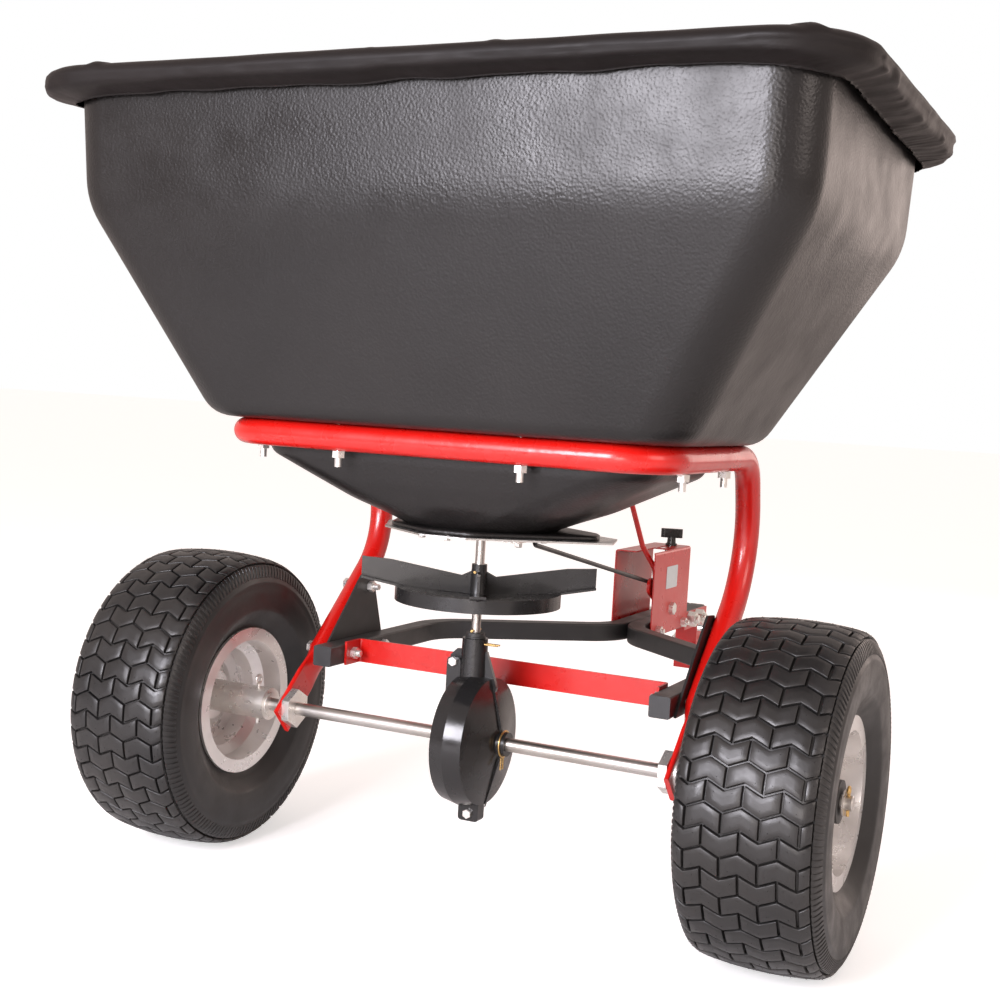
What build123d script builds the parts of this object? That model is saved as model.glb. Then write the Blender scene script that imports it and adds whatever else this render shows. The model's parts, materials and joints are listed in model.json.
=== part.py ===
from build123d import *
import math
import os

os.makedirs("parts", exist_ok=True)

# A tow-behind rotary spreader. Sizes in mm: +X is to the right, +Y forward to the tractor, +Z up.
# The origin stands on the ground in the middle of the machine's length and width.

# ---- wheels and axle
TYRE_D = 371.0
TYRE_W = 157.0
TREAD_CROWN = 4.5
TRACK = 762.0
RIM_FLANGE_R = 92.0
RIM_SEAT_R = 79.0
RIM_WELL_R = 66.0
RIM_W = 124.0
RIM_WALL = 3.0
DISC_OFFSET = 10.0
HUB_D = 40.0
HUB_BORE_D = 33.0
HUB_IN = 282.0
HUB_OUT = 433.0
HUB_PLUG = 24.0
AXLE_D = 15.9
AXLE_HALF = 450.0
WHEEL_PIN_X = 301.0
RUNNING = 0.07
SLIP = 0.05
GAP = 0.3

# ---- frame tube: seat ring for the hopper, running down into the two legs
TUBE_D = 30.0
TUBE_WALL = 2.0
RING_Z = 532.7
RAIL_X = 263.0
RAIL_REAR = 144.0
RING_CORNER = 60.0
LEG_X = 254.0
LEG_KNEE = (233.0, 402.0)
LEG_SHOULDER = (168.0, 532.7)
KNEE_R = 110.0
SHOULDER_R = 55.0
FOOT_THICK = 6.0
FOOT_W = 42.0
FOOT_END = 22.0
FOOT_START = 46.0
FOOT_BLEND = 92.0

# ---- drawbar
BAR = 25.4
BAR_WALL = 2.0
BAR_Z = 251.0
BAR_REAR = 24.0
BAR_KNEE_Y = 322.0
TONGUE_Y = 488.0
TONGUE_END = 800.0
BAR_BEND_R = 80.0
GUSSET = 3.0
CAP_LIP = 2.0
STRAP_Y = 89.0
STRAP_H = 30.0
STRAP_Z = 252.0
STRAP_T = 3.0
STRAP_TAB = 34.0

# ---- hopper, made as stations of half width, half depth and corner radius
WALL = 4.0
RIM_TOP = 912.0
RIM_LIP = 32.0
TOP_W = 427.0
TOP_D = 250.0
TOP_CORNER = 52.0
CREASE_Z = 779.5
CREASE_W = 421.0
CREASE_D = 242.0
CREASE_CORNER = 50.0
LEDGE_W = 277.0
LEDGE_D = 155.0
LEDGE_CORNER = 56.0
THROAT_W = 244.0
THROAT_D = 125.0
THROAT_Z = 511.0
THROAT_CORNER = 62.0
OUTLET_R = 76.0
BASE_Z = 430.0
BASE_T = 2.0
BASE_FLANGE = 5.0

# ---- rain cover
COVER_T = 3.0
COVER_OVER = 9.0
COVER_TOP = 929.0
COVER_HEM_Z = 872.0

# ---- impeller and its shaft
SHAFT_D = 11.0
SHAFT_TOP = 474.0
IMP_SKIRT_Z = 347.0
IMP_DISC_Z = 363.0
IMP_R = 97.0
IMP_REACH = 137.0
IMP_TURN = 26.2
VANES = 4
VANE_T = 3.0

# ---- bevel gears
MODULE = 2.2
RING_TEETH = 60
PINION_TEETH = 10
FACE = 14.0
ADDENDUM = 1.9
DEDENDUM = 2.3

# ---- gearbox housing
BOX_R = 78.0
BOX_WALL = 3.0
NECK_R = 15.0
NECK_TOP = 305.0
BOX_HUB_R = 14.0
BOX_LEFT = 40.0
BOX_RIGHT = 50.0

# ---- lever box
CTRL_REAR = 524.0
CTRL_FRONT = 687.0
CTRL_TOP = 370.0
CTRL_BOTTOM = 243.0
CTRL_HALF = 32.0
CTRL_T = 2.0
LEVER_PIVOT = (607.0, 279.0)
LEVER_LINK = (538.0, 325.0)
LEVER_X = 24.0
LEVER_T = 4.0
LEVER_W = 25.0
LEVER_ROD_D = 8.0
LINK_X = 16.0
LINK_D = 6.0
GATE_PIN_Y = 118.0
GATE_T = 2.0
GATE_HALF = 57.0
STOP_X = 7.0
STOP_Y = 664.0
STEM_R = 3.6
STOP_RUN = 64.0
SLOT_W = 29.0
SLOT_RUN = 80.0

# ---- hitch
HITCH_REACH = 870.0
HITCH_T = 4.0
HITCH_PIN_D = 13.5
HITCH_PIN_Y = 850.0
YOKE_Z = 200.0
YOKE_GAP = 24.0
EAR_T = 6.0
EAR_HALF = 20.0
CHANNEL_HALF = 18.0
CHANNEL_Y = 790.0
CHANNEL_BOTTOM = 156.0

AXLE_Z = TYRE_D / 2
WHEEL_X = TRACK / 2
COVER_W = TOP_W + RIM_LIP + COVER_OVER
COVER_D = TOP_D + RIM_LIP + COVER_OVER
AXLE_Y = (COVER_D - HITCH_REACH) / 2
ARM_X = LEG_X - TUBE_D / 2 - GUSSET - BAR / 2
TONGUE_X = BAR / 2
LEDGE_Z = RING_Z + TUBE_D / 2
AXLE_R = AXLE_D / 2
SHAFT_R = SHAFT_D / 2
STANDING = (Align.CENTER, Align.CENTER, Align.MIN)
HANGING = (Align.CENTER, Align.CENTER, Align.MAX)


def plan(z):
    """A level plane over the middle of the axle."""
    return Plane(origin=(0, AXLE_Y, z))


def side(x):
    """An upright plane across the machine: its own x runs forward, its own y runs up."""
    return Plane(origin=(x, AXLE_Y, 0), x_dir=(0, 1, 0), z_dir=(1, 0, 0))


def across(y):
    """An upright plane that faces the rear: its own x runs right, its own y runs up."""
    return Plane(origin=(0, AXLE_Y + y, 0), x_dir=(1, 0, 0), z_dir=(0, -1, 0))


def aimed(x, y, z, way):
    """A place whose own z axis points the given way."""
    return Plane(origin=(x, AXLE_Y + y, z), z_dir=way).location


def hex_bolt(diameter, length, flats, head):
    """A bolt along +Z: the head below zero, the shank above."""
    with BuildPart() as one:
        with BuildSketch(Plane.XY.offset(-head)):
            RegularPolygon(flats / 2, 6, major_radius=False)
        extrude(amount=head)
        chamfer(one.faces().sort_by(Axis.Z)[0].edges(), head * 0.12)
        Cylinder(diameter / 2, length, align=STANDING)
        chamfer(one.faces().sort_by(Axis.Z)[-1].edges(), diameter * 0.08)
    return one.part


def hex_nut(diameter, flats, height):
    """A nut that starts at zero and runs up +Z."""
    with BuildPart() as one:
        with BuildSketch():
            RegularPolygon(flats / 2, 6, major_radius=False)
            Circle(diameter / 2 + SLIP, mode=Mode.SUBTRACT)
        extrude(amount=height)
    return one.part


def washer(inner, outer, thick):
    """A flat ring that starts at zero and runs up +Z."""
    with BuildPart() as one:
        with BuildSketch():
            Circle(outer)
            Circle(inner, mode=Mode.SUBTRACT)
        extrude(amount=thick)
    return one.part


def round_bar(points, radius, bend):
    """A bar of round section bent along straight runs joined by arcs."""
    placed = [(x, AXLE_Y + y, z) for x, y, z in points]
    with BuildPart() as one:
        with BuildLine() as path:
            FilletPolyline(*placed, radius=bend)
        with BuildSketch(path.line ^ 0):
            Circle(radius)
        sweep()
    return one.part


# =====================================================================  wheels
BOLT_8 = 8.0
BOLT_10 = 10.0
BOLT_14 = 14.0


def rim(centre, inboard):
    """A pressed steel rim round the X axis, its disc set towards the inboard side."""
    flange_in = RIM_W / 2 - RIM_WALL - 0.5
    half = RIM_W / 2
    disc = DISC_OFFSET
    plane = Plane(origin=(centre, AXLE_Y, AXLE_Z), x_dir=(inboard, 0, 0), z_dir=(0, -inboard, 0))
    with BuildPart() as one:
        with BuildSketch(plane):
            with BuildLine():
                Polyline(
                    (-half, RIM_FLANGE_R), (-flange_in, RIM_FLANGE_R), (-flange_in, RIM_SEAT_R),
                    (-36, RIM_SEAT_R - 2.5), (-26, RIM_WELL_R), (26, RIM_WELL_R),
                    (36, RIM_SEAT_R - 2.5), (flange_in, RIM_SEAT_R), (flange_in, RIM_FLANGE_R),
                    (half, RIM_FLANGE_R), (half, RIM_SEAT_R - RIM_WALL),
                    (37.3, RIM_SEAT_R - 2.5 - RIM_WALL), (27.3, RIM_WELL_R - RIM_WALL),
                    (-27.3, RIM_WELL_R - RIM_WALL), (-37.3, RIM_SEAT_R - 2.5 - RIM_WALL),
                    (-half, RIM_SEAT_R - RIM_WALL), close=True,
                )
            make_face()
        revolve(axis=Axis((centre, AXLE_Y, AXLE_Z), (1, 0, 0)))
        with BuildSketch(plane):
            with BuildLine():
                Polyline(
                    (disc - 2, HUB_D / 2), (disc + 2, HUB_D / 2), (disc + 2, 31), (disc - 6, 46),
                    (disc - 6, RIM_WELL_R - RIM_WALL / 2), (disc - 10, RIM_WELL_R - RIM_WALL / 2),
                    (disc - 10, 45), (disc - 2, 29.5), close=True,
                )
            make_face()
        revolve(axis=Axis((centre, AXLE_Y, AXLE_Z), (1, 0, 0)))
        stem_hole = Plane(origin=(centre - inboard * 14, AXLE_Y, AXLE_Z), z_dir=(0, 0, -1)).location
        with Locations(stem_hole):
            Cylinder(4.2, RIM_WELL_R + 5, align=STANDING, mode=Mode.SUBTRACT)
    return one.part


def tyre(centre):
    """A turf tyre round the X axis, hollow, with its beads on the rim seats."""
    bead = RIM_W / 2 - RIM_WALL - 0.7
    half = TYRE_W / 2
    outer = TYRE_D / 2
    plane = Plane(origin=(centre, AXLE_Y, AXLE_Z), x_dir=(1, 0, 0), z_dir=(0, -1, 0))
    with BuildPart() as one:
        with BuildSketch(plane):
            with BuildLine():
                rise = TREAD_CROWN
                seat = RIM_SEAT_R + 0.2
                ThreePointArc((-58, outer - rise), (0, outer), (58, outer - rise))
                edge = outer - rise
                toe = bead - 11
                Spline((58, edge), (73, outer - 19), (half, outer - 45), (72, 112), (bead, 94))
                Polyline((bead, 94), (bead, seat), (toe, seat))
                Spline((toe, seat), (54, 105), (68, 140), (58, 168), (46, 173))
                Line((46, 173), (-46, 173))
                Spline((-46, 173), (-58, 168), (-68, 140), (-54, 105), (-toe, seat))
                Polyline((-toe, seat), (-bead, seat), (-bead, 94))
                Spline((-bead, 94), (-72, 112), (-half, outer - 45), (-73, outer - 19), (-58, edge))
            make_face()
        revolve(axis=Axis((centre, AXLE_Y, AXLE_Z), (1, 0, 0)))
    return one.part


def stem(centre, inboard):
    """A snap-in valve that stands in from the rim well."""
    with BuildPart() as one:
        with Locations(aimed(centre - inboard * 14, 0, AXLE_Z - 40, (0, 0, -1))):
            Cylinder(3.2, RIM_WELL_R - 36, align=STANDING)
        with Locations(aimed(centre - inboard * 14, 0, AXLE_Z - 52, (0, 0, -1))):
            Cylinder(4.1, RIM_WELL_R - 52, align=STANDING)
    return one.part


rim_left = rim(-WHEEL_X, 1)
rim_left.label = "rim_left"
export_step(rim_left, "parts/rim_left.step")
rim_right = rim(WHEEL_X, -1)
rim_right.label = "rim_right"
export_step(rim_right, "parts/rim_right.step")
tyre_left = tyre(-WHEEL_X)
tyre_left.label = "tyre_left"
export_step(tyre_left, "parts/tyre_left.step")
tyre_right = tyre(WHEEL_X)
tyre_right.label = "tyre_right"
export_step(tyre_right, "parts/tyre_right.step")
valve_left = stem(-WHEEL_X, 1)
valve_left.label = "valve_left"
export_step(valve_left, "parts/valve_left.step")
valve_right = stem(WHEEL_X, -1)
valve_right.label = "valve_right"
export_step(valve_right, "parts/valve_right.step")

# The left hub is closed by two welded plugs and is pinned to the axle, so this wheel drives.
with BuildPart() as hub_left:
    with BuildSketch(Plane(origin=(-HUB_OUT, AXLE_Y, AXLE_Z), z_dir=(1, 0, 0))):
        Circle(HUB_D / 2)
        Circle(AXLE_R + SLIP, mode=Mode.SUBTRACT)
    extrude(amount=HUB_OUT - HUB_IN)
    with BuildSketch(Plane(origin=(-HUB_OUT + HUB_PLUG, AXLE_Y, AXLE_Z), z_dir=(1, 0, 0))):
        Circle(HUB_BORE_D / 2)
    extrude(amount=HUB_OUT - HUB_IN - 2 * HUB_PLUG - 8, mode=Mode.SUBTRACT)
    with Locations(aimed(-WHEEL_PIN_X, 0, AXLE_Z, (0, 0, 1))):
        Cylinder(2.1, HUB_D + 4, mode=Mode.SUBTRACT)
hub_left.part.label = "hub_left"
export_step(hub_left.part, "parts/hub_left.step")

with BuildPart() as hub_right:
    with BuildSketch(Plane(origin=(HUB_IN, AXLE_Y, AXLE_Z), z_dir=(1, 0, 0))):
        Circle(HUB_D / 2)
        Circle(HUB_BORE_D / 2, mode=Mode.SUBTRACT)
    extrude(amount=HUB_OUT - HUB_IN)
hub_right.part.label = "hub_right"
export_step(hub_right.part, "parts/hub_right.step")

# The right wheel turns freely on two flanged bushings that are pressed into its hub.
with BuildPart() as wheel_bushings:
    for start, way, neck in ((HUB_IN, 1, 10.0), (HUB_OUT, -1, 0.0)):
        with BuildSketch(Plane(origin=(start, AXLE_Y, AXLE_Z), z_dir=(way, 0, 0))):
            Circle(HUB_BORE_D / 2)
            Circle(AXLE_R + RUNNING, mode=Mode.SUBTRACT)
        extrude(amount=HUB_PLUG)
        if neck:
            with BuildSketch(Plane(origin=(start, AXLE_Y, AXLE_Z), z_dir=(-way, 0, 0))):
                Circle(HUB_D / 2 - 1)
                Circle(AXLE_R + RUNNING, mode=Mode.SUBTRACT)
            extrude(amount=neck)
        with BuildSketch(Plane(origin=(start - way * neck, AXLE_Y, AXLE_Z), z_dir=(-way, 0, 0))):
            Circle(26.5 if neck else 23)
            Circle(AXLE_R + RUNNING, mode=Mode.SUBTRACT)
        extrude(amount=8 if neck else 4)
wheel_bushings.part.label = "wheel_bushings"
export_step(wheel_bushings.part, "parts/wheel_bushings.step")

# =====================================================================  axle
COTTER_X = AXLE_HALF - 5.5
with BuildPart() as axle_shaft:
    with Locations(aimed(0, 0, AXLE_Z, (1, 0, 0))):
        Cylinder(AXLE_R, 2 * AXLE_HALF)
    chamfer(axle_shaft.edges().filter_by(GeomType.CIRCLE), 1.0)
    for hole_x in (-WHEEL_PIN_X, -COTTER_X, COTTER_X):
        with Locations(aimed(hole_x, 0, AXLE_Z, (0, 0, 1))):
            Cylinder(2.1, AXLE_D + 4, mode=Mode.SUBTRACT)
    with Locations(aimed(26, 0, AXLE_Z, (0, 0, 1))):
        Cylinder(2.6, AXLE_D + 4, mode=Mode.SUBTRACT)
axle_shaft.part.label = "axle_shaft"
export_step(axle_shaft.part, "parts/axle_shaft.step")

with BuildPart() as wheel_pin:
    with Locations(aimed(-WHEEL_PIN_X, 0, AXLE_Z - HUB_D / 2 - 7, (0, 0, 1))):
        Cylinder(2.0, HUB_D + 12, align=STANDING)
    with Locations(aimed(-WHEEL_PIN_X, 0, AXLE_Z + HUB_D / 2 + 9, (1, 0, 0))):
        Torus(5, 1.9)
wheel_pin.part.label = "wheel_pin"
export_step(wheel_pin.part, "parts/wheel_pin.step")

with BuildPart() as axle_cotters:
    for end in (-1, 1):
        with Locations(aimed(end * COTTER_X, 0, AXLE_Z - AXLE_R - 6, (0, 0, 1))):
            Cylinder(1.9, AXLE_D + 9, align=STANDING)
        with Locations(aimed(end * COTTER_X, 0, AXLE_Z + AXLE_R + 5.5, (1, 0, 0))):
            Torus(3.4, 1.7)
axle_cotters.part.label = "axle_cotters"
export_step(axle_cotters.part, "parts/axle_cotters.step")

LEG_OUT = LEG_X + FOOT_THICK / 2 + 3
with BuildPart() as axle_washers:
    with Locations(aimed(-LEG_OUT - GAP, 0, AXLE_Z, (-1, 0, 0))):
        add(washer(AXLE_R + SLIP, 14, 2))
    with Locations(aimed(-HUB_IN + 2.2, 0, AXLE_Z, (-1, 0, 0))):
        add(washer(AXLE_R + SLIP, 15, 2))
    with Locations(aimed(LEG_OUT + GAP, 0, AXLE_Z, (1, 0, 0))):
        add(washer(AXLE_R + SLIP, 14, 2))
    for end in (-1, 1):
        with Locations(aimed(end * (COTTER_X - 2.3), 0, AXLE_Z, (-end, 0, 0))):
            add(washer(AXLE_R + SLIP, 14, 2))
axle_washers.part.label = "axle_washers"
export_step(axle_washers.part, "parts/axle_washers.step")

# =====================================================================  bevel gears
RING_PITCH = MODULE * RING_TEETH / 2
PINION_PITCH = MODULE * PINION_TEETH / 2
CONE = math.atan2(PINION_PITCH, RING_PITCH)
CONE_LENGTH = math.hypot(RING_PITCH, PINION_PITCH)
INNER_LENGTH = CONE_LENGTH - FACE
TOOTH = MODULE * math.pi * 0.42
TIP_SHARE = 0.55
ROOT_SHARE = 1.25


def bevel_tooth(deep, high):
    """One straight bevel tooth: its length runs along +X from the cone's point, its tip is up."""
    with BuildPart() as one:
        for reach in (INNER_LENGTH, CONE_LENGTH):
            share = reach / CONE_LENGTH
            low = -deep * share
            top = high * share
            wide = TOOTH * share / 2
            with BuildSketch(Plane(origin=(reach, 0, 0), x_dir=(0, 1, 0), z_dir=(1, 0, 0))):
                with BuildLine():
                    Polyline(
                        (-wide * ROOT_SHARE, low), (wide * ROOT_SHARE, low),
                        (wide * TIP_SHARE, top), (-wide * TIP_SHARE, top), close=True,
                    )
                make_face()
        loft()
    return one.part


RING_BACK = 21.0
GEAR_HUB_R = 17.0
GEAR_HUB_END = 32.0
gear_axis = Axis((0, AXLE_Y, AXLE_Z), (1, 0, 0))
with BuildPart() as ring_gear:
    with BuildSketch(across(0)):
        with BuildLine():
            in_x = INNER_LENGTH * math.sin(CONE) + DEDENDUM
            in_r = INNER_LENGTH * math.cos(CONE) - 1.5
            out_x = CONE_LENGTH * math.sin(CONE) + DEDENDUM
            out_r = CONE_LENGTH * math.cos(CONE)
            Polyline(
                (in_x, AXLE_Z + in_r), (out_x, AXLE_Z + out_r), (RING_BACK, AXLE_Z + out_r),
                (RING_BACK, AXLE_Z + GEAR_HUB_R), (GEAR_HUB_END, AXLE_Z + GEAR_HUB_R),
                (GEAR_HUB_END, AXLE_Z + AXLE_R + SLIP), (RING_BACK - 6, AXLE_Z + AXLE_R + SLIP),
                (RING_BACK - 6, AXLE_Z + in_r), close=True,
            )
        make_face()
    revolve(axis=gear_axis)
    ring_tooth = bevel_tooth(DEDENDUM + 0.8, ADDENDUM)
    for index in range(RING_TEETH):
        turn = 360 / RING_TEETH * (index + 0.5)
        add(
            Location((0, AXLE_Y, AXLE_Z)) * Location((0, 0, 0), (1, 0, 0), turn)
            * Location(Plane(origin=(0, 0, 0), x_dir=(math.sin(CONE), 0, math.cos(CONE)),
                             z_dir=(-math.cos(CONE), 0, math.sin(CONE))))
            * ring_tooth
        )
    with Locations(aimed(26, 0, AXLE_Z, (0, 0, 1))):
        Cylinder(2.6, 2 * GEAR_HUB_R + 4, mode=Mode.SUBTRACT)
ring_gear.part.label = "ring_gear"
export_step(ring_gear.part, "parts/ring_gear.step")

with BuildPart() as gear_pin:
    with Locations(aimed(26, 0, AXLE_Z, (0, 0, 1))):
        Cylinder(2.5, 2 * GEAR_HUB_R + 2)
gear_pin.part.label = "gear_pin"
export_step(gear_pin.part, "parts/gear_pin.step")

PINION_TOP = AXLE_Z + RING_PITCH + 1.5
with BuildPart() as pinion_gear:
    with BuildSketch(across(0)):
        with BuildLine():
            low_z = AXLE_Z + INNER_LENGTH * math.cos(CONE) - 1.0
            low_r = INNER_LENGTH * math.sin(CONE) - DEDENDUM
            high_r = CONE_LENGTH * math.sin(CONE) - DEDENDUM
            Polyline(
                (SHAFT_R + SLIP, low_z), (low_r, low_z), (high_r, PINION_TOP - 1.5),
                (high_r, PINION_TOP + 8), (SHAFT_R + SLIP, PINION_TOP + 8), close=True,
            )
        make_face()
    revolve(axis=Axis((0, AXLE_Y, 0), (0, 0, 1)))
    pinion_tooth = bevel_tooth(DEDENDUM + 0.6, ADDENDUM)
    for index in range(PINION_TEETH):
        turn = 360 / PINION_TEETH * index
        add(
            Location((0, AXLE_Y, AXLE_Z)) * Location((0, 0, 0), (0, 0, 1), turn)
            * Location(Plane(origin=(0, 0, 0), x_dir=(math.sin(CONE), 0, math.cos(CONE)),
                             z_dir=(math.cos(CONE), 0, -math.sin(CONE))))
            * pinion_tooth
        )
pinion_gear.part.label = "pinion_gear"
export_step(pinion_gear.part, "parts/pinion_gear.step")

# =====================================================================  gearbox housing
# Two moulded halves meet on the upright plane through both shafts.
CAVITY_LEFT = -14.5
with BuildPart() as housing:
    with BuildSketch(across(0)):
        with BuildLine():
            Polyline(
                (-BOX_LEFT, AXLE_Z), (-BOX_LEFT, AXLE_Z + BOX_HUB_R), (-30, AXLE_Z + BOX_HUB_R),
                (CAVITY_LEFT - 4, AXLE_Z + BOX_R - 12), (CAVITY_LEFT, AXLE_Z + BOX_R - 4),
                (4, AXLE_Z + BOX_R), (RING_BACK + 4, AXLE_Z + BOX_R - 4), (BOX_RIGHT - 12, AXLE_Z + 19),
                (BOX_RIGHT - 10, AXLE_Z + BOX_HUB_R), (BOX_RIGHT, AXLE_Z + BOX_HUB_R), (BOX_RIGHT, AXLE_Z),
                close=True,
            )
        make_face()
    revolve(axis=gear_axis)
    with BuildSketch(plan(AXLE_Z + 40)):
        Circle(NECK_R + 2)
    extrude(amount=NECK_TOP - AXLE_Z - 40, taper=math.degrees(math.atan2(2, NECK_TOP - AXLE_Z - 40)))
    with BuildSketch(across(0)):
        with BuildLine():
            Polyline(
                (-30, 232), (-30, 282), (-22, 290), (NECK_R + 2, 290), (32, 250), (RING_BACK + 6, 232),
                close=True,
            )
        make_face()
    extrude(amount=2.5, both=True)
    with BuildSketch(across(0)):
        with BuildLine():
            Polyline(
                (RING_BACK + 4, AXLE_Z - BOX_R), (RING_BACK + 6, AXLE_Z + BOX_R - 6),
                (BOX_RIGHT - 9, AXLE_Z + 20), (BOX_RIGHT - 9, AXLE_Z - 20), close=True,
            )
        make_face()
    extrude(amount=1.8, both=True)
    with BuildSketch(across(0)):
        with Locations((-21, 254)):
            RectangleRounded(18, 54, 5)
    extrude(amount=11, both=True)
    with BuildSketch(across(0)):
        with Locations((7, AXLE_Z - BOX_R - 6)):
            RectangleRounded(26, 24, 4)
    extrude(amount=8, both=True)
    with BuildSketch(across(0)):
        with BuildLine():
            Polyline(
                (CAVITY_LEFT + 1, AXLE_Z), (CAVITY_LEFT + 1, AXLE_Z + BOX_R - 8),
                (4, AXLE_Z + BOX_R - BOX_WALL - 0.5), (RING_BACK + 2, AXLE_Z + BOX_R - 8),
                (BOX_RIGHT - 16, AXLE_Z + 18.5), (BOX_RIGHT - 16, AXLE_Z), close=True,
            )
        make_face()
    revolve(axis=gear_axis, mode=Mode.SUBTRACT)
    with Locations(aimed(0, 0, AXLE_Z, (1, 0, 0))):
        Cylinder(AXLE_R + RUNNING, 140, mode=Mode.SUBTRACT)
    with Locations(aimed(0, 0, AXLE_Z + 10, (0, 0, 1))):
        Cylinder(13.8, PINION_TOP - AXLE_Z + 1, align=STANDING, mode=Mode.SUBTRACT)
        Cylinder(SHAFT_R + RUNNING, 140, align=STANDING, mode=Mode.SUBTRACT)
    for screw_x, screw_z in ((-21, 276), (7, AXLE_Z - BOX_R - 9)):
        with Locations(aimed(screw_x, 0, screw_z, (0, 1, 0))):
            Cylinder(3.0 + SLIP, 60, mode=Mode.SUBTRACT)
with BuildPart() as housing_front:
    add(housing.part)
    split(bisect_by=across(0), keep=Keep.BOTTOM)
housing_front.part.label = "housing_front"
export_step(housing_front.part, "parts/housing_front.step")
with BuildPart() as housing_rear:
    add(housing.part)
    split(bisect_by=across(0), keep=Keep.TOP)
housing_rear.part.label = "housing_rear"
export_step(housing_rear.part, "parts/housing_rear.step")

with BuildPart() as housing_screws:
    for screw_x, screw_z, half in ((-21, 276, 11), (7, AXLE_Z - BOX_R - 9, 8)):
        with Locations(aimed(screw_x, -half, screw_z, (0, 1, 0))):
            add(hex_bolt(6, 2 * half + 8, 10, 4.5))
        with Locations(aimed(screw_x, half, screw_z, (0, 1, 0))):
            add(hex_nut(6, 10, 5))
housing_screws.part.label = "housing_screws"
export_step(housing_screws.part, "parts/housing_screws.step")

# Brass spring clips hold the two halves together at the neck and at both hubs.
CLIP_R = 1.1
with BuildPart() as housing_clips:
    with Locations(aimed(0, 0, NECK_TOP - 5, (0, 0, 1))):
        Torus(NECK_R + CLIP_R + 0.4, CLIP_R)
    for tail in (-3.0, 3.0):
        with Locations(aimed(NECK_R + CLIP_R + 0.1, tail - 5, NECK_TOP - 5, (1, 0, 0))):
            Cylinder(CLIP_R, 17, align=STANDING)
    with Locations(aimed(BOX_RIGHT - 5, 0, AXLE_Z, (1, 0, 0))):
        Torus(BOX_HUB_R + CLIP_R, CLIP_R)
    for tail in (-3.0, 3.0):
        with Locations(aimed(BOX_RIGHT - 5, tail - 4, AXLE_Z - BOX_HUB_R - CLIP_R - 0.1, (0, 0, -1))):
            Cylinder(CLIP_R, 14, align=STANDING)
    with Locations(aimed(-BOX_LEFT + 5, 0, AXLE_Z, (1, 0, 0))):
        Torus(BOX_HUB_R + CLIP_R, CLIP_R)
housing_clips.part.label = "housing_clips"
export_step(housing_clips.part, "parts/housing_clips.step")

# =====================================================================  impeller and shaft
with BuildPart() as impeller_shaft:
    with Locations(aimed(0, 0, AXLE_Z + INNER_LENGTH - 8, (0, 0, 1))):
        Cylinder(SHAFT_R, SHAFT_TOP - AXLE_Z - INNER_LENGTH + 8, align=STANDING)
    chamfer(impeller_shaft.edges().filter_by(GeomType.CIRCLE), 0.8)
    for hole_z in (PINION_TOP + 5, NECK_TOP + 9, IMP_DISC_Z + 20, SHAFT_TOP - 10):
        with Locations(aimed(0, 0, hole_z, (0, 1, 0))):
            Cylinder(1.6, SHAFT_D + 4, mode=Mode.SUBTRACT)
impeller_shaft.part.label = "impeller_shaft"
export_step(impeller_shaft.part, "parts/impeller_shaft.step")

with BuildPart() as thrust_washers:
    with Locations(aimed(0, 0, NECK_TOP + GAP, (0, 0, 1))):
        add(washer(SHAFT_R + SLIP, 12, 1.8))
    with Locations(aimed(0, 0, NECK_TOP + GAP + 2.0, (0, 0, 1))):
        add(washer(SHAFT_R + SLIP, 11, 4.2))
thrust_washers.part.label = "thrust_washers"
export_step(thrust_washers.part, "parts/thrust_washers.step")

DISH = 6.0
HUB_TOP = 392.0
with BuildPart() as impeller:
    with BuildSketch(across(0)):
        with BuildLine():
            Polyline(
                (SHAFT_R + SLIP, IMP_SKIRT_Z + 4), (12, IMP_SKIRT_Z + 4), (12, IMP_DISC_Z - DISH - 3),
                (IMP_R - 3, IMP_DISC_Z - 3), (IMP_R - 3, IMP_SKIRT_Z), (IMP_R, IMP_SKIRT_Z),
                (IMP_R, IMP_DISC_Z), (10, IMP_DISC_Z - DISH), (9, HUB_TOP), (SHAFT_R + SLIP, HUB_TOP),
                close=True,
            )
        make_face()
    revolve(axis=Axis((0, AXLE_Y, 0), (0, 0, 1)))
    for index in range(VANES):
        turn = math.radians(IMP_TURN + 360 / VANES * index)
        ahead = (math.cos(turn), math.sin(turn), 0)
        blade = Plane(origin=(0, AXLE_Y, 0), x_dir=ahead, z_dir=(math.sin(turn), -math.cos(turn), 0))
        with BuildSketch(blade):
            with BuildLine():
                Polyline(
                    (8, HUB_TOP - 8), (20, HUB_TOP - 14), (IMP_REACH - 34, HUB_TOP),
                    (IMP_REACH, HUB_TOP + 2), (IMP_REACH, HUB_TOP - 20), (IMP_R, IMP_DISC_Z - 2),
                    (8, IMP_DISC_Z - DISH - 2), close=True,
                )
            make_face()
        extrude(amount=VANE_T / 2, both=True)
        with BuildSketch(blade):
            with BuildLine():
                Polyline(
                    (IMP_R - 8, IMP_DISC_Z - 2.5), (IMP_REACH, HUB_TOP - 22.5),
                    (IMP_REACH, HUB_TOP - 20), (IMP_R - 8, IMP_DISC_Z), close=True,
                )
            make_face()
        extrude(amount=9, both=True)
    with Locations(aimed(0, 0, IMP_DISC_Z + 20, (0, 1, 0))):
        Cylinder(1.6, 30, mode=Mode.SUBTRACT)
impeller.part.label = "impeller"
export_step(impeller.part, "parts/impeller.step")

with BuildPart() as impeller_pin:
    with Locations(aimed(0, 0, IMP_DISC_Z + 20, (0, 1, 0))):
        Cylinder(1.55, 24)
    with Locations(aimed(0, 0, NECK_TOP + 9, (0, 1, 0))):
        Cylinder(1.55, 22)
impeller_pin.part.label = "impeller_pins"
export_step(impeller_pin.part, "parts/impeller_pins.step")

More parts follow.
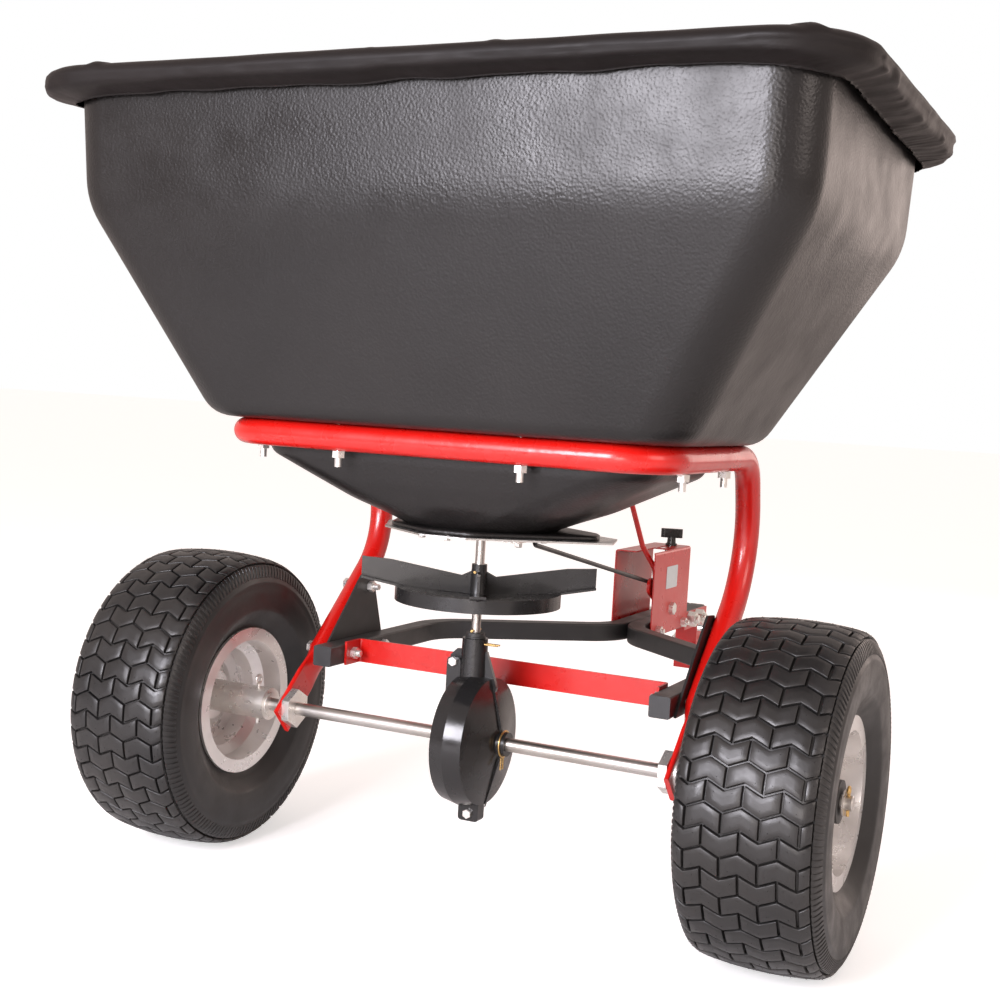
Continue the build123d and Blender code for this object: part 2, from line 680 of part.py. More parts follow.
with BuildPart() as agitator:
    with Locations(aimed(0, 0, SHAFT_TOP - 10, (0, 1, 0))):
        Cylinder(1.55, 92)
    for end in (-1, 1):
        with Locations(aimed(0, end * 45, SHAFT_TOP - 10, (0, 0, 1))):
            Cylinder(1.55, 18, align=STANDING)
agitator.part.label = "agitator"
export_step(agitator.part, "parts/agitator.step")

# =====================================================================  frame tube
leg_run = math.hypot(LEG_KNEE[0], LEG_KNEE[1] - AXLE_Z)
LEG_WAY = (LEG_KNEE[0] / leg_run, (LEG_KNEE[1] - AXLE_Z) / leg_run)


def along_leg(reach):
    """A point on the straight part of the leg, measured from the axle."""
    return (LEG_WAY[0] * reach, AXLE_Z + LEG_WAY[1] * reach)


blend_y, blend_z = along_leg(FOOT_BLEND)
tube_points = [
    (-LEG_X, blend_y, blend_z),
    (-LEG_X, *LEG_KNEE),
    (-RAIL_X, *LEG_SHOULDER),
    (-RAIL_X, -RAIL_REAR, RING_Z),
    (RAIL_X, -RAIL_REAR, RING_Z),
    (RAIL_X, *LEG_SHOULDER),
    (LEG_X, *LEG_KNEE),
    (LEG_X, blend_y, blend_z),
]
tube_radii = [KNEE_R, SHOULDER_R, RING_CORNER, RING_CORNER, SHOULDER_R, KNEE_R]
BOLT_RAIL_REAR = 111.0
BOLT_RAIL_BACK = -68.0
BOLT_RAIL_FRONT = 78.0
ring_bolts = [
    (-BOLT_RAIL_REAR, 1 - RAIL_REAR), (BOLT_RAIL_REAR, 1 - RAIL_REAR),
    (-RAIL_X, BOLT_RAIL_BACK), (RAIL_X, BOLT_RAIL_BACK),
    (-RAIL_X, BOLT_RAIL_FRONT), (RAIL_X, BOLT_RAIL_FRONT),
]
GUSSET_BOLT = (152.0, 326.0)
ARM_BOLT_Y = (BAR_Z - AXLE_Z) * LEG_WAY[0] / LEG_WAY[1]
with BuildPart() as frame_tube:
    with BuildLine() as tube_path:
        FilletPolyline(*[(x, AXLE_Y + y, z) for x, y, z in tube_points], radius=tube_radii)
    with BuildSketch(tube_path.line ^ 0):
        Circle(TUBE_D / 2)
        Circle(TUBE_D / 2 - TUBE_WALL, mode=Mode.SUBTRACT)
    sweep()
    for leg in (-LEG_X, LEG_X):
        start_y, start_z = blend_y, blend_z
        flat_y, flat_z = along_leg(FOOT_START)
        down = (0, -LEG_WAY[0], -LEG_WAY[1])
        with BuildSketch(Plane(origin=(leg, AXLE_Y + start_y, start_z), x_dir=(1, 0, 0), z_dir=down)):
            Circle(TUBE_D / 2)
        with BuildSketch(Plane(origin=(leg, AXLE_Y + flat_y, flat_z), x_dir=(1, 0, 0), z_dir=down)):
            RectangleRounded(FOOT_THICK, FOOT_W, FOOT_THICK / 2 - 0.2)
        loft()
        with BuildSketch(Plane(origin=(leg, AXLE_Y + flat_y, flat_z), x_dir=(1, 0, 0), z_dir=down)):
            RectangleRounded(FOOT_THICK, FOOT_W, FOOT_THICK / 2 - 0.2)
        extrude(amount=FOOT_START + FOOT_END)
        with Locations(aimed(leg, 0, AXLE_Z, (1, 0, 0))):
            Cylinder(13 + SLIP, 30, mode=Mode.SUBTRACT)
        for hole_y, hole_z in (GUSSET_BOLT, (ARM_BOLT_Y, BAR_Z)):
            with Locations(aimed(leg, hole_y, hole_z, (1, 0, 0))):
                Cylinder(BOLT_8 / 2 + SLIP, TUBE_D + 10, mode=Mode.SUBTRACT)
    for bolt_x, bolt_y in ring_bolts:
        with Locations(aimed(bolt_x, bolt_y, RING_Z, (0, 0, 1))):
            Cylinder(BOLT_8 / 2 + SLIP, TUBE_D + 10, mode=Mode.SUBTRACT)
frame_tube.part.label = "frame_tube"
export_step(frame_tube.part, "parts/frame_tube.step")

# Hex flanged bushings carry the axle in the two feet.
with BuildPart() as axle_bushings:
    for way in (-1, 1):
        inner_face = LEG_X - FOOT_THICK / 2
        with BuildSketch(Plane(origin=(way * inner_face, AXLE_Y, AXLE_Z), z_dir=(-way, 0, 0))):
            RegularPolygon(21, 6, major_radius=False)
            Circle(AXLE_R + RUNNING, mode=Mode.SUBTRACT)
        extrude(amount=10)
        with BuildSketch(Plane(origin=(way * inner_face, AXLE_Y, AXLE_Z), z_dir=(way, 0, 0))):
            Circle(13)
            Circle(AXLE_R + RUNNING, mode=Mode.SUBTRACT)
        extrude(amount=FOOT_THICK + 3)
        with BuildSketch(Plane(origin=(way * (inner_face + FOOT_THICK), AXLE_Y, AXLE_Z), z_dir=(way, 0, 0))):
            Circle(17)
            Circle(AXLE_R + RUNNING, mode=Mode.SUBTRACT)
        extrude(amount=3)
axle_bushings.part.label = "axle_bushings"
export_step(axle_bushings.part, "parts/axle_bushings.step")

# =====================================================================  drawbar
CTRL_BOLTS = [(550.0, BAR_Z), (666.0, BAR_Z)]
HITCH_BOLTS = [(709.0, BAR_Z), (745.0, BAR_Z)]
ARM_FRONT_BOLT_Y = 150.0


def drawbar(hand):
    """One square tube: an arm beside the leg, a slanting run, then half of the tongue."""
    points = [
        (hand * ARM_X, BAR_REAR, BAR_Z), (hand * ARM_X, BAR_KNEE_Y, BAR_Z),
        (hand * TONGUE_X, TONGUE_Y, BAR_Z), (hand * TONGUE_X, TONGUE_END, BAR_Z),
    ]
    with BuildPart() as one:
        with BuildLine() as path:
            FilletPolyline(*[(x, AXLE_Y + y, z) for x, y, z in points], radius=BAR_BEND_R)
        with BuildSketch(across(BAR_REAR)):
            with Locations((hand * ARM_X, BAR_Z)):
                RectangleRounded(BAR, BAR, 2.6)
                RectangleRounded(BAR - 2 * BAR_WALL, BAR - 2 * BAR_WALL, 1.0, mode=Mode.SUBTRACT)
        sweep(path=path.line)
        for hole_y in (ARM_BOLT_Y, ARM_FRONT_BOLT_Y):
            with Locations(aimed(hand * ARM_X, hole_y, BAR_Z, (1, 0, 0))):
                Cylinder(BOLT_8 / 2 + SLIP, BAR + 6, mode=Mode.SUBTRACT)
        for hole_y, hole_z in CTRL_BOLTS:
            with Locations(aimed(hand * TONGUE_X, hole_y, hole_z, (1, 0, 0))):
                Cylinder(BOLT_8 / 2 + SLIP, BAR + 6, mode=Mode.SUBTRACT)
        for hole_y, hole_z in HITCH_BOLTS:
            with Locations(aimed(hand * TONGUE_X, hole_y, hole_z, (1, 0, 0))):
                Cylinder(BOLT_14 / 2 + SLIP, BAR + 6, mode=Mode.SUBTRACT)
    return one.part


drawbar_left = drawbar(-1)
drawbar_left.label = "drawbar_left"
export_step(drawbar_left, "parts/drawbar_left.step")
drawbar_right = drawbar(1)
drawbar_right.label = "drawbar_right"
export_step(drawbar_right, "parts/drawbar_right.step")

with BuildPart() as tube_caps:
    for cap_x, cap_y, way in (
        (-ARM_X, BAR_REAR, 1), (ARM_X, BAR_REAR, 1), (-TONGUE_X, TONGUE_END, -1), (TONGUE_X, TONGUE_END, -1),
    ):
        with BuildSketch(across(cap_y)):
            with Locations((cap_x, BAR_Z)):
                RectangleRounded(BAR - 2 * SLIP, BAR - 2 * SLIP, 2.6)
        extrude(amount=way * CAP_LIP)
        with BuildSketch(across(cap_y)):
            with Locations((cap_x, BAR_Z)):
                RectangleRounded(BAR - 2 * BAR_WALL - 0.4, BAR - 2 * BAR_WALL - 0.4, 1.5)
                Rectangle(BAR - 2 * BAR_WALL - 4, BAR - 2 * BAR_WALL - 4, mode=Mode.SUBTRACT)
        extrude(amount=-way * 14)
tube_caps.part.label = "tube_caps"
export_step(tube_caps.part, "parts/tube_caps.step")


def gusset(hand):
    """A flat brace that ties the leg to the drawbar arm."""
    inner = hand * (ARM_X + BAR / 2)
    with BuildPart() as one:
        with BuildSketch(side(inner)):
            with BuildLine():
                Polyline(
                    (36, BAR_Z - BAR / 2), (58, BAR_Z + BAR / 2), (126, 337), (134, 344), (158, 342),
                    (164, 332), (188, BAR_Z + BAR / 2), (192, BAR_Z - BAR / 2), close=True,
                )
            make_face()
        extrude(amount=hand * GUSSET)
        for hole_y, hole_z in (GUSSET_BOLT, (ARM_BOLT_Y, BAR_Z), (ARM_FRONT_BOLT_Y, BAR_Z)):
            with Locations(aimed(inner, hole_y, hole_z, (1, 0, 0))):
                Cylinder(BOLT_8 / 2 + SLIP, 20, mode=Mode.SUBTRACT)
    return one.part


gusset_left = gusset(-1)
gusset_left.label = "gusset_left"
export_step(gusset_left, "parts/gusset_left.step")
gusset_right = gusset(1)
gusset_right.label = "gusset_right"
export_step(gusset_right, "parts/gusset_right.step")

STRAP_HALF = ARM_X - BAR / 2
with BuildPart() as cross_strap:
    with BuildSketch(plan(STRAP_Z - STRAP_H / 2)):
        with BuildLine() as strap_line:
            FilletPolyline(
                (-STRAP_HALF + STRAP_T / 2, STRAP_Y - STRAP_TAB), (-STRAP_HALF + STRAP_T / 2, STRAP_Y),
                (STRAP_HALF - STRAP_T / 2, STRAP_Y), (STRAP_HALF - STRAP_T / 2, STRAP_Y - STRAP_TAB),
                radius=STRAP_T + 1,
            )
        trace(strap_line.line, STRAP_T)
    extrude(amount=STRAP_H)
    for way in (-1, 1):
        with Locations(aimed(way * STRAP_HALF, ARM_BOLT_Y, BAR_Z, (1, 0, 0))):
            Cylinder(BOLT_8 / 2 + SLIP, 12, mode=Mode.SUBTRACT)
cross_strap.part.label = "cross_strap"
export_step(cross_strap.part, "parts/cross_strap.step")

NUT_8 = 6.5
leg_face = LEG_X + TUBE_D / 2
arm_inner = ARM_X - BAR / 2
with BuildPart() as frame_bolts:
    for way in (-1, 1):
        with Locations(aimed(way * leg_face, *GUSSET_BOLT, (-way, 0, 0))):
            add(hex_bolt(BOLT_8, leg_face - ARM_X - BAR / 2 + 15, 13, 5.3))
        with Locations(aimed(way * leg_face, ARM_BOLT_Y, BAR_Z, (-way, 0, 0))):
            add(hex_bolt(BOLT_8, leg_face - arm_inner + STRAP_T + 12, 13, 5.3))
        with Locations(aimed(way * (ARM_X + BAR / 2 + GUSSET), ARM_FRONT_BOLT_Y, BAR_Z, (-way, 0, 0))):
            add(hex_bolt(BOLT_8, BAR + GUSSET + 12, 13, 5.3))
frame_bolts.part.label = "frame_bolts"
export_step(frame_bolts.part, "parts/frame_bolts.step")

with BuildPart() as frame_nuts:
    for way in (-1, 1):
        with Locations(aimed(way * (ARM_X + BAR / 2), *GUSSET_BOLT, (-way, 0, 0))):
            add(hex_nut(BOLT_8, 13, NUT_8))
        with Locations(aimed(way * (arm_inner - STRAP_T), ARM_BOLT_Y, BAR_Z, (-way, 0, 0))):
            add(hex_nut(BOLT_8, 13, NUT_8))
        with Locations(aimed(way * arm_inner, ARM_FRONT_BOLT_Y, BAR_Z, (-way, 0, 0))):
            add(hex_nut(BOLT_8, 13, NUT_8))
frame_nuts.part.label = "frame_nuts"
export_step(frame_nuts.part, "parts/frame_nuts.step")

# =====================================================================  hopper
# Stations run from the outlet up: height, half width, half depth, corner radius.
FUNNEL = [
    (BASE_Z + BASE_T, OUTLET_R, OUTLET_R, OUTLET_R - 0.5),
    (447.0, 110.0, 89.0, 78.0),
    (462.0, 149.0, 101.0, 76.0),
    (483.0, 190.0, 113.0, 72.0),
    (THROAT_Z, THROAT_W, THROAT_D, THROAT_CORNER),
    (LEDGE_Z + 1, THROAT_W, THROAT_D, THROAT_CORNER),
]
BODY = [
    (LEDGE_Z, LEDGE_W - 4, LEDGE_D - 4, LEDGE_CORNER),
    (LEDGE_Z + 4, LEDGE_W + 2, LEDGE_D + 2, LEDGE_CORNER + 2),
    (LEDGE_Z + 12, LEDGE_W + 11, LEDGE_D + 9, LEDGE_CORNER + 3),
    (LEDGE_Z + 28, LEDGE_W + 28.5, LEDGE_D + 23.5, LEDGE_CORNER + 4),
    (CREASE_Z - 14, CREASE_W - 8, CREASE_D - 5, CREASE_CORNER),
    (CREASE_Z + 12, CREASE_W + 1, CREASE_D + 1, CREASE_CORNER),
    (RIM_TOP, TOP_W, TOP_D, TOP_CORNER),
]


def stack(stations, inset=0):
    """A ruled solid through rounded rectangles, drawn in by the wall where asked."""
    with BuildPart() as one:
        for height, half_w, half_d, corner in stations:
            with BuildSketch(plan(height)):
                RectangleRounded(2 * (half_w - inset), 2 * (half_d - inset), corner - inset)
        loft(ruled=True)
    return one.part


funnel_outer = stack(FUNNEL)
body_outer = stack(BODY)
funnel_rows = [(BASE_Z + BASE_T - 1, OUTLET_R, OUTLET_R, OUTLET_R - 0.5)]
funnel_rows += [(height + 3, w, d, r) for height, w, d, r in FUNNEL[1:-1]]
funnel_rows += [(LEDGE_Z + 9, THROAT_W, THROAT_D, THROAT_CORNER)]
funnel_inner = stack(funnel_rows, WALL)
body_rows = [(LEDGE_Z + WALL, LEDGE_W - 1.5, LEDGE_D - 1.5, LEDGE_CORNER)]
body_rows += BODY[2:-1]
body_rows += [(RIM_TOP + 1, TOP_W, TOP_D, TOP_CORNER)]
body_inner = stack(body_rows, WALL)
LIP_W = TOP_W + RIM_LIP
LIP_D = TOP_D + RIM_LIP
LIP_CORNER = TOP_CORNER + RIM_LIP
FOOT_OUTLINE = [
    (-118, 12), (-104, 62), (-20, 84), (66, 84), (132, 42), (146, 2), (34, -96), (-22, -98), (-92, -52),
]
with BuildPart() as hopper:
    add(funnel_outer)
    add(body_outer)
    with BuildSketch(plan(RIM_TOP - 5)):
        RectangleRounded(2 * LIP_W, 2 * LIP_D, LIP_CORNER)
    extrude(amount=5)
    with BuildSketch(plan(RIM_TOP - 13)):
        RectangleRounded(2 * LIP_W, 2 * LIP_D, LIP_CORNER)
        RectangleRounded(2 * (LIP_W - WALL), 2 * (LIP_D - WALL), LIP_CORNER - WALL, mode=Mode.SUBTRACT)
    extrude(amount=8)
    with BuildSketch(plan(BASE_Z + BASE_T)):
        with BuildLine():
            Polyline(*FOOT_OUTLINE, close=True)
        make_face()
    extrude(amount=BASE_FLANGE)
    add(funnel_inner, mode=Mode.SUBTRACT)
    add(body_inner, mode=Mode.SUBTRACT)
    for bolt_x, bolt_y in ring_bolts:
        with Locations(aimed(bolt_x, bolt_y, LEDGE_Z, (0, 0, 1))):
            Cylinder(BOLT_8 / 2 + SLIP, 20, mode=Mode.SUBTRACT)
hopper.part.label = "hopper"
export_step(hopper.part, "parts/hopper.step")

BOLT_DROP = LEDGE_Z - 500.0
with BuildPart() as hopper_bolts:
    for bolt_x, bolt_y in ring_bolts:
        with Locations(aimed(bolt_x, bolt_y, LEDGE_Z + WALL, (0, 0, -1))):
            Cylinder(BOLT_8 / 2, BOLT_DROP + WALL, align=STANDING)
            Cylinder(6.2, 3.5, align=HANGING)
hopper_bolts.part.label = "hopper_bolts"
export_step(hopper_bolts.part, "parts/hopper_bolts.step")

with BuildPart() as hopper_nuts:
    for bolt_x, bolt_y in ring_bolts:
        with Locations(aimed(bolt_x, bolt_y, RING_Z - TUBE_D / 2, (0, 0, -1))):
            add(hex_nut(BOLT_8, 13, NUT_8 + 1))
hopper_nuts.part.label = "hopper_nuts"
export_step(hopper_nuts.part, "parts/hopper_nuts.step")

# =====================================================================  rain cover
# A thin skin over the rim, drawn in under it by the elastic hem.
COVER_CORNER = LIP_CORNER + COVER_OVER
HEM_SLACK = 7.5
CROWN_W = 220.0
CROWN_D = 90.0
CROWN_CORNER = 40.0
COVER_OUT = [
    (COVER_HEM_Z, TOP_W + HEM_SLACK, TOP_D + HEM_SLACK, TOP_CORNER + HEM_SLACK),
    (RIM_TOP - 14, COVER_W - 3, COVER_D - 3, COVER_CORNER - 2),
    (RIM_TOP - 4, COVER_W, COVER_D, COVER_CORNER),
    (RIM_TOP + 8, COVER_W - 6, COVER_D - 6, COVER_CORNER - 5),
    (COVER_TOP - 3, COVER_W - 60, COVER_D - 60, COVER_CORNER - 43),
    (COVER_TOP, CROWN_W, CROWN_D, CROWN_CORNER),
]
cover_outer = stack(COVER_OUT)
cover_rows = [(COVER_HEM_Z - 0.5, TOP_W + HEM_SLACK - 0.2, TOP_D + HEM_SLACK - 0.2, TOP_CORNER + HEM_SLACK)]
cover_rows += [(height - 2.5, w, d, r) for height, w, d, r in COVER_OUT[1:-1]]
cover_rows += [(COVER_TOP - COVER_T, CROWN_W, CROWN_D, CROWN_CORNER)]
cover_inner = stack(cover_rows, COVER_T)
with BuildPart() as rain_cover:
    add(cover_outer)
    add(cover_inner, mode=Mode.SUBTRACT)
rain_cover.part.label = "rain_cover"
export_step(rain_cover.part, "parts/rain_cover.step")

# =====================================================================  base plate and gate
PLATE = [
    (-128, 6), (-112, 70), (-24, 94), (64, 94), (150, 50), (166, -4), (34, -108), (-22, -110), (-96, -58),
]
OUTLET_X = 36.0
OUTLET_Y = -26.0
OUTLET_W = 34.0
OUTLET_L = 24.0
plate_screws = [(-102, 2), (-84, 58), (136, 22), (6, -98)]
GUIDE_SCREWS = [(-62, 40), (-62, -30), (62, 40), (62, -30)]
with BuildPart() as base_plate:
    with BuildSketch(plan(BASE_Z)):
        with BuildLine():
            Polyline(*PLATE, close=True)
        make_face()
        Circle(10 + SLIP, mode=Mode.SUBTRACT)
        with Locations((-OUTLET_X, OUTLET_Y), (OUTLET_X, OUTLET_Y)):
            RectangleRounded(OUTLET_W, OUTLET_L, 5, mode=Mode.SUBTRACT)
        with Locations(*plate_screws, *GUIDE_SCREWS):
            Circle(2.5 + SLIP, mode=Mode.SUBTRACT)
    extrude(amount=BASE_T)
base_plate.part.label = "base_plate"
export_step(base_plate.part, "parts/base_plate.step")

with BuildPart() as base_screws:
    for screw_x, screw_y in plate_screws:
        with Locations(aimed(screw_x, screw_y, BASE_Z, (0, 0, 1))):
            add(hex_bolt(5, BASE_T - 0.2, 8, 3.5))
base_screws.part.label = "base_screws"
export_step(base_screws.part, "parts/base_screws.step")

with BuildPart() as shaft_bushing:
    with BuildSketch(plan(BASE_Z - 5)):
        Circle(10)
        Circle(SHAFT_R + RUNNING, mode=Mode.SUBTRACT)
    extrude(amount=BASE_T + 5)
    with BuildSketch(plan(BASE_Z + BASE_T)):
        Circle(15)
        Circle(SHAFT_R + RUNNING, mode=Mode.SUBTRACT)
    extrude(amount=4)
shaft_bushing.part.label = "shaft_bushing"
export_step(shaft_bushing.part, "parts/shaft_bushing.step")

GUIDE_GAP = 0.5
gate_low = BASE_Z - GUIDE_GAP - GATE_T
with BuildPart() as gate_guides:
    for way in (-1, 1):
        with BuildSketch(across(5)):
            with BuildLine():
                Polyline(
                    (way * (GATE_HALF + 0.5), BASE_Z), (way * 68, BASE_Z), (way * 68, gate_low - 2.5),
                    (way * (GATE_HALF - 7), gate_low - 2.5), (way * (GATE_HALF - 7), gate_low - GUIDE_GAP),
                    (way * (GATE_HALF + 0.5), gate_low - GUIDE_GAP), close=True,
                )
            make_face()
        extrude(amount=50, both=True)
    for screw_x, screw_y in GUIDE_SCREWS:
        with Locations(aimed(screw_x, screw_y, BASE_Z, (0, 0, 1))):
            Cylinder(2.5 + SLIP, 40, mode=Mode.SUBTRACT)
gate_guides.part.label = "gate_guides"
export_step(gate_guides.part, "parts/gate_guides.step")

with BuildPart() as guide_screws:
    for screw_x, screw_y in GUIDE_SCREWS:
        with Locations(aimed(screw_x, screw_y, gate_low - 2.5, (0, 0, 1))):
            add(hex_bolt(5, BASE_Z + BASE_T - gate_low + 2.3, 8, 5.5))
guide_screws.part.label = "guide_screws"
export_step(guide_screws.part, "parts/guide_screws.step")

GATE_REAR = -42.0
GATE_FRONT = 72.0
GATE_SLOT = 46.0
LINK_HOLE_R = 5.2
with BuildPart() as shutoff_gate:
    with BuildSketch(plan(gate_low)):
        with Locations((0, (GATE_REAR + GATE_FRONT) / 2)):
            RectangleRounded(2 * GATE_HALF, GATE_FRONT - GATE_REAR, 6)
        with Locations((LINK_X, (GATE_FRONT + GATE_PIN_Y + 12) / 2 - 3)):
            RectangleRounded(26, GATE_PIN_Y + 12 - GATE_FRONT + 6, 8)
        with Locations((0, -GATE_SLOT / 2 + 12)):
            Rectangle(23, GATE_SLOT, mode=Mode.SUBTRACT)
        with Locations((0, GATE_REAR)):
            Rectangle(23, 40, mode=Mode.SUBTRACT)
        with Locations((LINK_X, GATE_PIN_Y)):
            Circle(LINK_HOLE_R, mode=Mode.SUBTRACT)
    extrude(amount=GATE_T)
shutoff_gate.part.label = "shutoff_gate"
export_step(shutoff_gate.part, "parts/shutoff_gate.step")

# =====================================================================  lever box
with BuildPart() as lever_box:
    with BuildSketch(across(CTRL_REAR)):
        with BuildLine() as box_line:
            FilletPolyline(
                (-CTRL_HALF + CTRL_T / 2, CTRL_BOTTOM), (-CTRL_HALF + CTRL_T / 2, CTRL_TOP - CTRL_T / 2),
                (CTRL_HALF - CTRL_T / 2, CTRL_TOP - CTRL_T / 2), (CTRL_HALF - CTRL_T / 2, CTRL_BOTTOM),
                radius=CTRL_T + 1,
            )
        trace(box_line.line, CTRL_T)
    extrude(amount=CTRL_REAR - CTRL_FRONT)
    with BuildSketch(plan(CTRL_TOP - 10)):
        with Locations((CTRL_HALF - CTRL_T - SLOT_W / 2 - 0.5, CTRL_REAR + SLOT_RUN / 2 - 10)):
            Rectangle(SLOT_W, SLOT_RUN + 20)
        with Locations((STOP_X, STOP_Y + STEM_R + 2 - STOP_RUN / 2)):
            SlotOverall(STOP_RUN, 2 * STEM_R + 1.8, rotation=90)
    extrude(amount=20, mode=Mode.SUBTRACT)
    for hole_y, hole_z in CTRL_BOLTS:
        with Locations(aimed(0, hole_y, hole_z, (1, 0, 0))):
            Cylinder(BOLT_8 / 2 + SLIP, 4 * CTRL_HALF, mode=Mode.SUBTRACT)
    with Locations(aimed(CTRL_HALF, *LEVER_PIVOT, (1, 0, 0))):
        Cylinder(BOLT_8 / 2 + SLIP, 20, mode=Mode.SUBTRACT)
lever_box.part.label = "lever_box"
export_step(lever_box.part, "parts/lever_box.step")

# Spacer tubes fill the room between the tongue and the walls of the box.
with BuildPart() as box_spacers:
    for hole_y, hole_z in CTRL_BOLTS:
        for way in (-1, 1):
            with Locations(aimed(way * BAR, hole_y, hole_z, (way, 0, 0))):
                add(washer(BOLT_8 / 2 + SLIP, 8, CTRL_HALF - CTRL_T - BAR))
    with Locations(aimed(LEVER_X + LEVER_T / 2 + GAP, *LEVER_PIVOT, (1, 0, 0))):
        add(washer(BOLT_8 / 2 + SLIP, 9, CTRL_HALF - CTRL_T - LEVER_X - LEVER_T / 2 - GAP))
box_spacers.part.label = "box_spacers"
export_step(box_spacers.part, "parts/box_spacers.step")

with BuildPart() as box_bolts:
    for hole_y, hole_z in CTRL_BOLTS:
        with Locations(aimed(-CTRL_HALF, hole_y, hole_z, (1, 0, 0))):
            add(hex_bolt(BOLT_8, 2 * CTRL_HALF + 12, 13, 5.3))
        with Locations(aimed(CTRL_HALF, hole_y, hole_z, (1, 0, 0))):
            add(hex_nut(BOLT_8, 13, NUT_8 + 1))
    with Locations(aimed(CTRL_HALF, *LEVER_PIVOT, (-1, 0, 0))):
        add(hex_bolt(BOLT_8, CTRL_HALF - LEVER_X + LEVER_T / 2 + 11, 17, 7))
    with Locations(aimed(LEVER_X - LEVER_T / 2 - GAP, *LEVER_PIVOT, (-1, 0, 0))):
        add(hex_nut(BOLT_8, 13, NUT_8))
box_bolts.part.label = "box_bolts"
export_step(box_bolts.part, "parts/box_bolts.step")

LABEL_T = 0.6
with BuildPart() as scale_plate:
    with BuildSketch(side(CTRL_HALF)):
        with Locations((603, 328)):
            RectangleRounded(50, 34, 2)
    extrude(amount=LABEL_T)
scale_plate.part.label = "scale_plate"
export_step(scale_plate.part, "parts/scale_plate.step")

# =====================================================================  lever, link, stop
LEVER_TOP = (532.0, 319.0)
HANDLE_END = (-18.0, 500.0, 698.0)
GRIP_R = 13.0
GRIP_OVER = 8.0
GRIP_L = 108.0
handle_points = [
    (LEVER_X, 556, 310), (LEVER_X, 545, 345), (8, 530, 378), (-10, 508, 455), HANDLE_END,
]
handle_way = tuple(a - b for a, b in zip(HANDLE_END, handle_points[3]))
with BuildPart() as flow_lever:
    with BuildSketch(side(LEVER_X - LEVER_T / 2)):
        with BuildLine() as bar_line:
            Line(LEVER_PIVOT, LEVER_TOP)
        trace(bar_line.line, LEVER_W)
        with Locations(LEVER_PIVOT, LEVER_TOP):
            Circle(LEVER_W / 2)
    extrude(amount=LEVER_T)
    add(round_bar(handle_points, LEVER_ROD_D / 2, 9))
    with Locations(aimed(LEVER_X, *LEVER_PIVOT, (1, 0, 0))):
        Cylinder(BOLT_8 / 2 + RUNNING, 20, mode=Mode.SUBTRACT)
    with Locations(aimed(LEVER_X, *LEVER_LINK, (1, 0, 0))):
        Cylinder(LINK_D / 2 + RUNNING, 20, mode=Mode.SUBTRACT)
flow_lever.part.label = "flow_lever"
export_step(flow_lever.part, "parts/flow_lever.step")

with BuildPart() as lever_grip:
    with Locations(aimed(*HANDLE_END, handle_way)):
        with Locations((0, 0, GRIP_OVER - GRIP_L)):
            Cylinder(GRIP_R, GRIP_L, align=STANDING)
    fillet(lever_grip.faces().sort_by(Axis.Z)[-1].edges(), 5)
    with Locations(aimed(*HANDLE_END, handle_way)):
        Cylinder(LEVER_ROD_D / 2, 2 * GRIP_L, align=HANGING, mode=Mode.SUBTRACT)
lever_grip.part.label = "lever_grip"
export_step(lever_grip.part, "parts/lever_grip.step")

# The link rod: a hooked end through the lever, a long level run and a hook down through the gate.
LINK_Z = 408.0
link_points = [
    (LEVER_X + 4.5, LEVER_LINK[0], LEVER_LINK[1]), (LINK_X, LEVER_LINK[0], LEVER_LINK[1]),
    (LINK_X, GATE_PIN_Y, LINK_Z), (LINK_X, GATE_PIN_Y, 441),
]
link_rod_part = round_bar(link_points, LINK_D / 2, 6)
link_rod_part.label = "link_rod"
export_step(link_rod_part, "parts/link_rod.step")

with BuildPart() as rate_stop:
    with BuildSketch(plan(CTRL_TOP - CTRL_T - 16)):
        with Locations((STOP_X, STOP_Y)):
            RectangleRounded(16, 14, 2)
    extrude(amount=16 - GAP)
    with Locations(aimed(STOP_X, STOP_Y, CTRL_TOP - CTRL_T - GAP, (0, 0, 1))):
        Cylinder(STEM_R, 25, align=STANDING)
rate_stop.part.label = "rate_stop"
export_step(rate_stop.part, "parts/rate_stop.step")

KNOB_LOW = CTRL_TOP + GAP
with BuildPart() as t_knob:
    with BuildSketch(plan(KNOB_LOW)):
        with Locations((STOP_X, STOP_Y)):
            Circle(9)
    extrude(amount=3)
    with BuildSketch(plan(KNOB_LOW + 3)):
        with Locations((STOP_X, STOP_Y)):
            Circle(7)
    extrude(amount=10, taper=4)
    with BuildSketch(plan(KNOB_LOW + 12)):
        with Locations((STOP_X, STOP_Y)):
            SlotOverall(34, 11, rotation=25)
    extrude(amount=14)
    with Locations(aimed(STOP_X, STOP_Y, KNOB_LOW - 1, (0, 0, 1))):
        Cylinder(STEM_R + RUNNING, 24, align=STANDING, mode=Mode.SUBTRACT)
t_knob.part.label = "t_knob"
export_step(t_knob.part, "parts/t_knob.step")

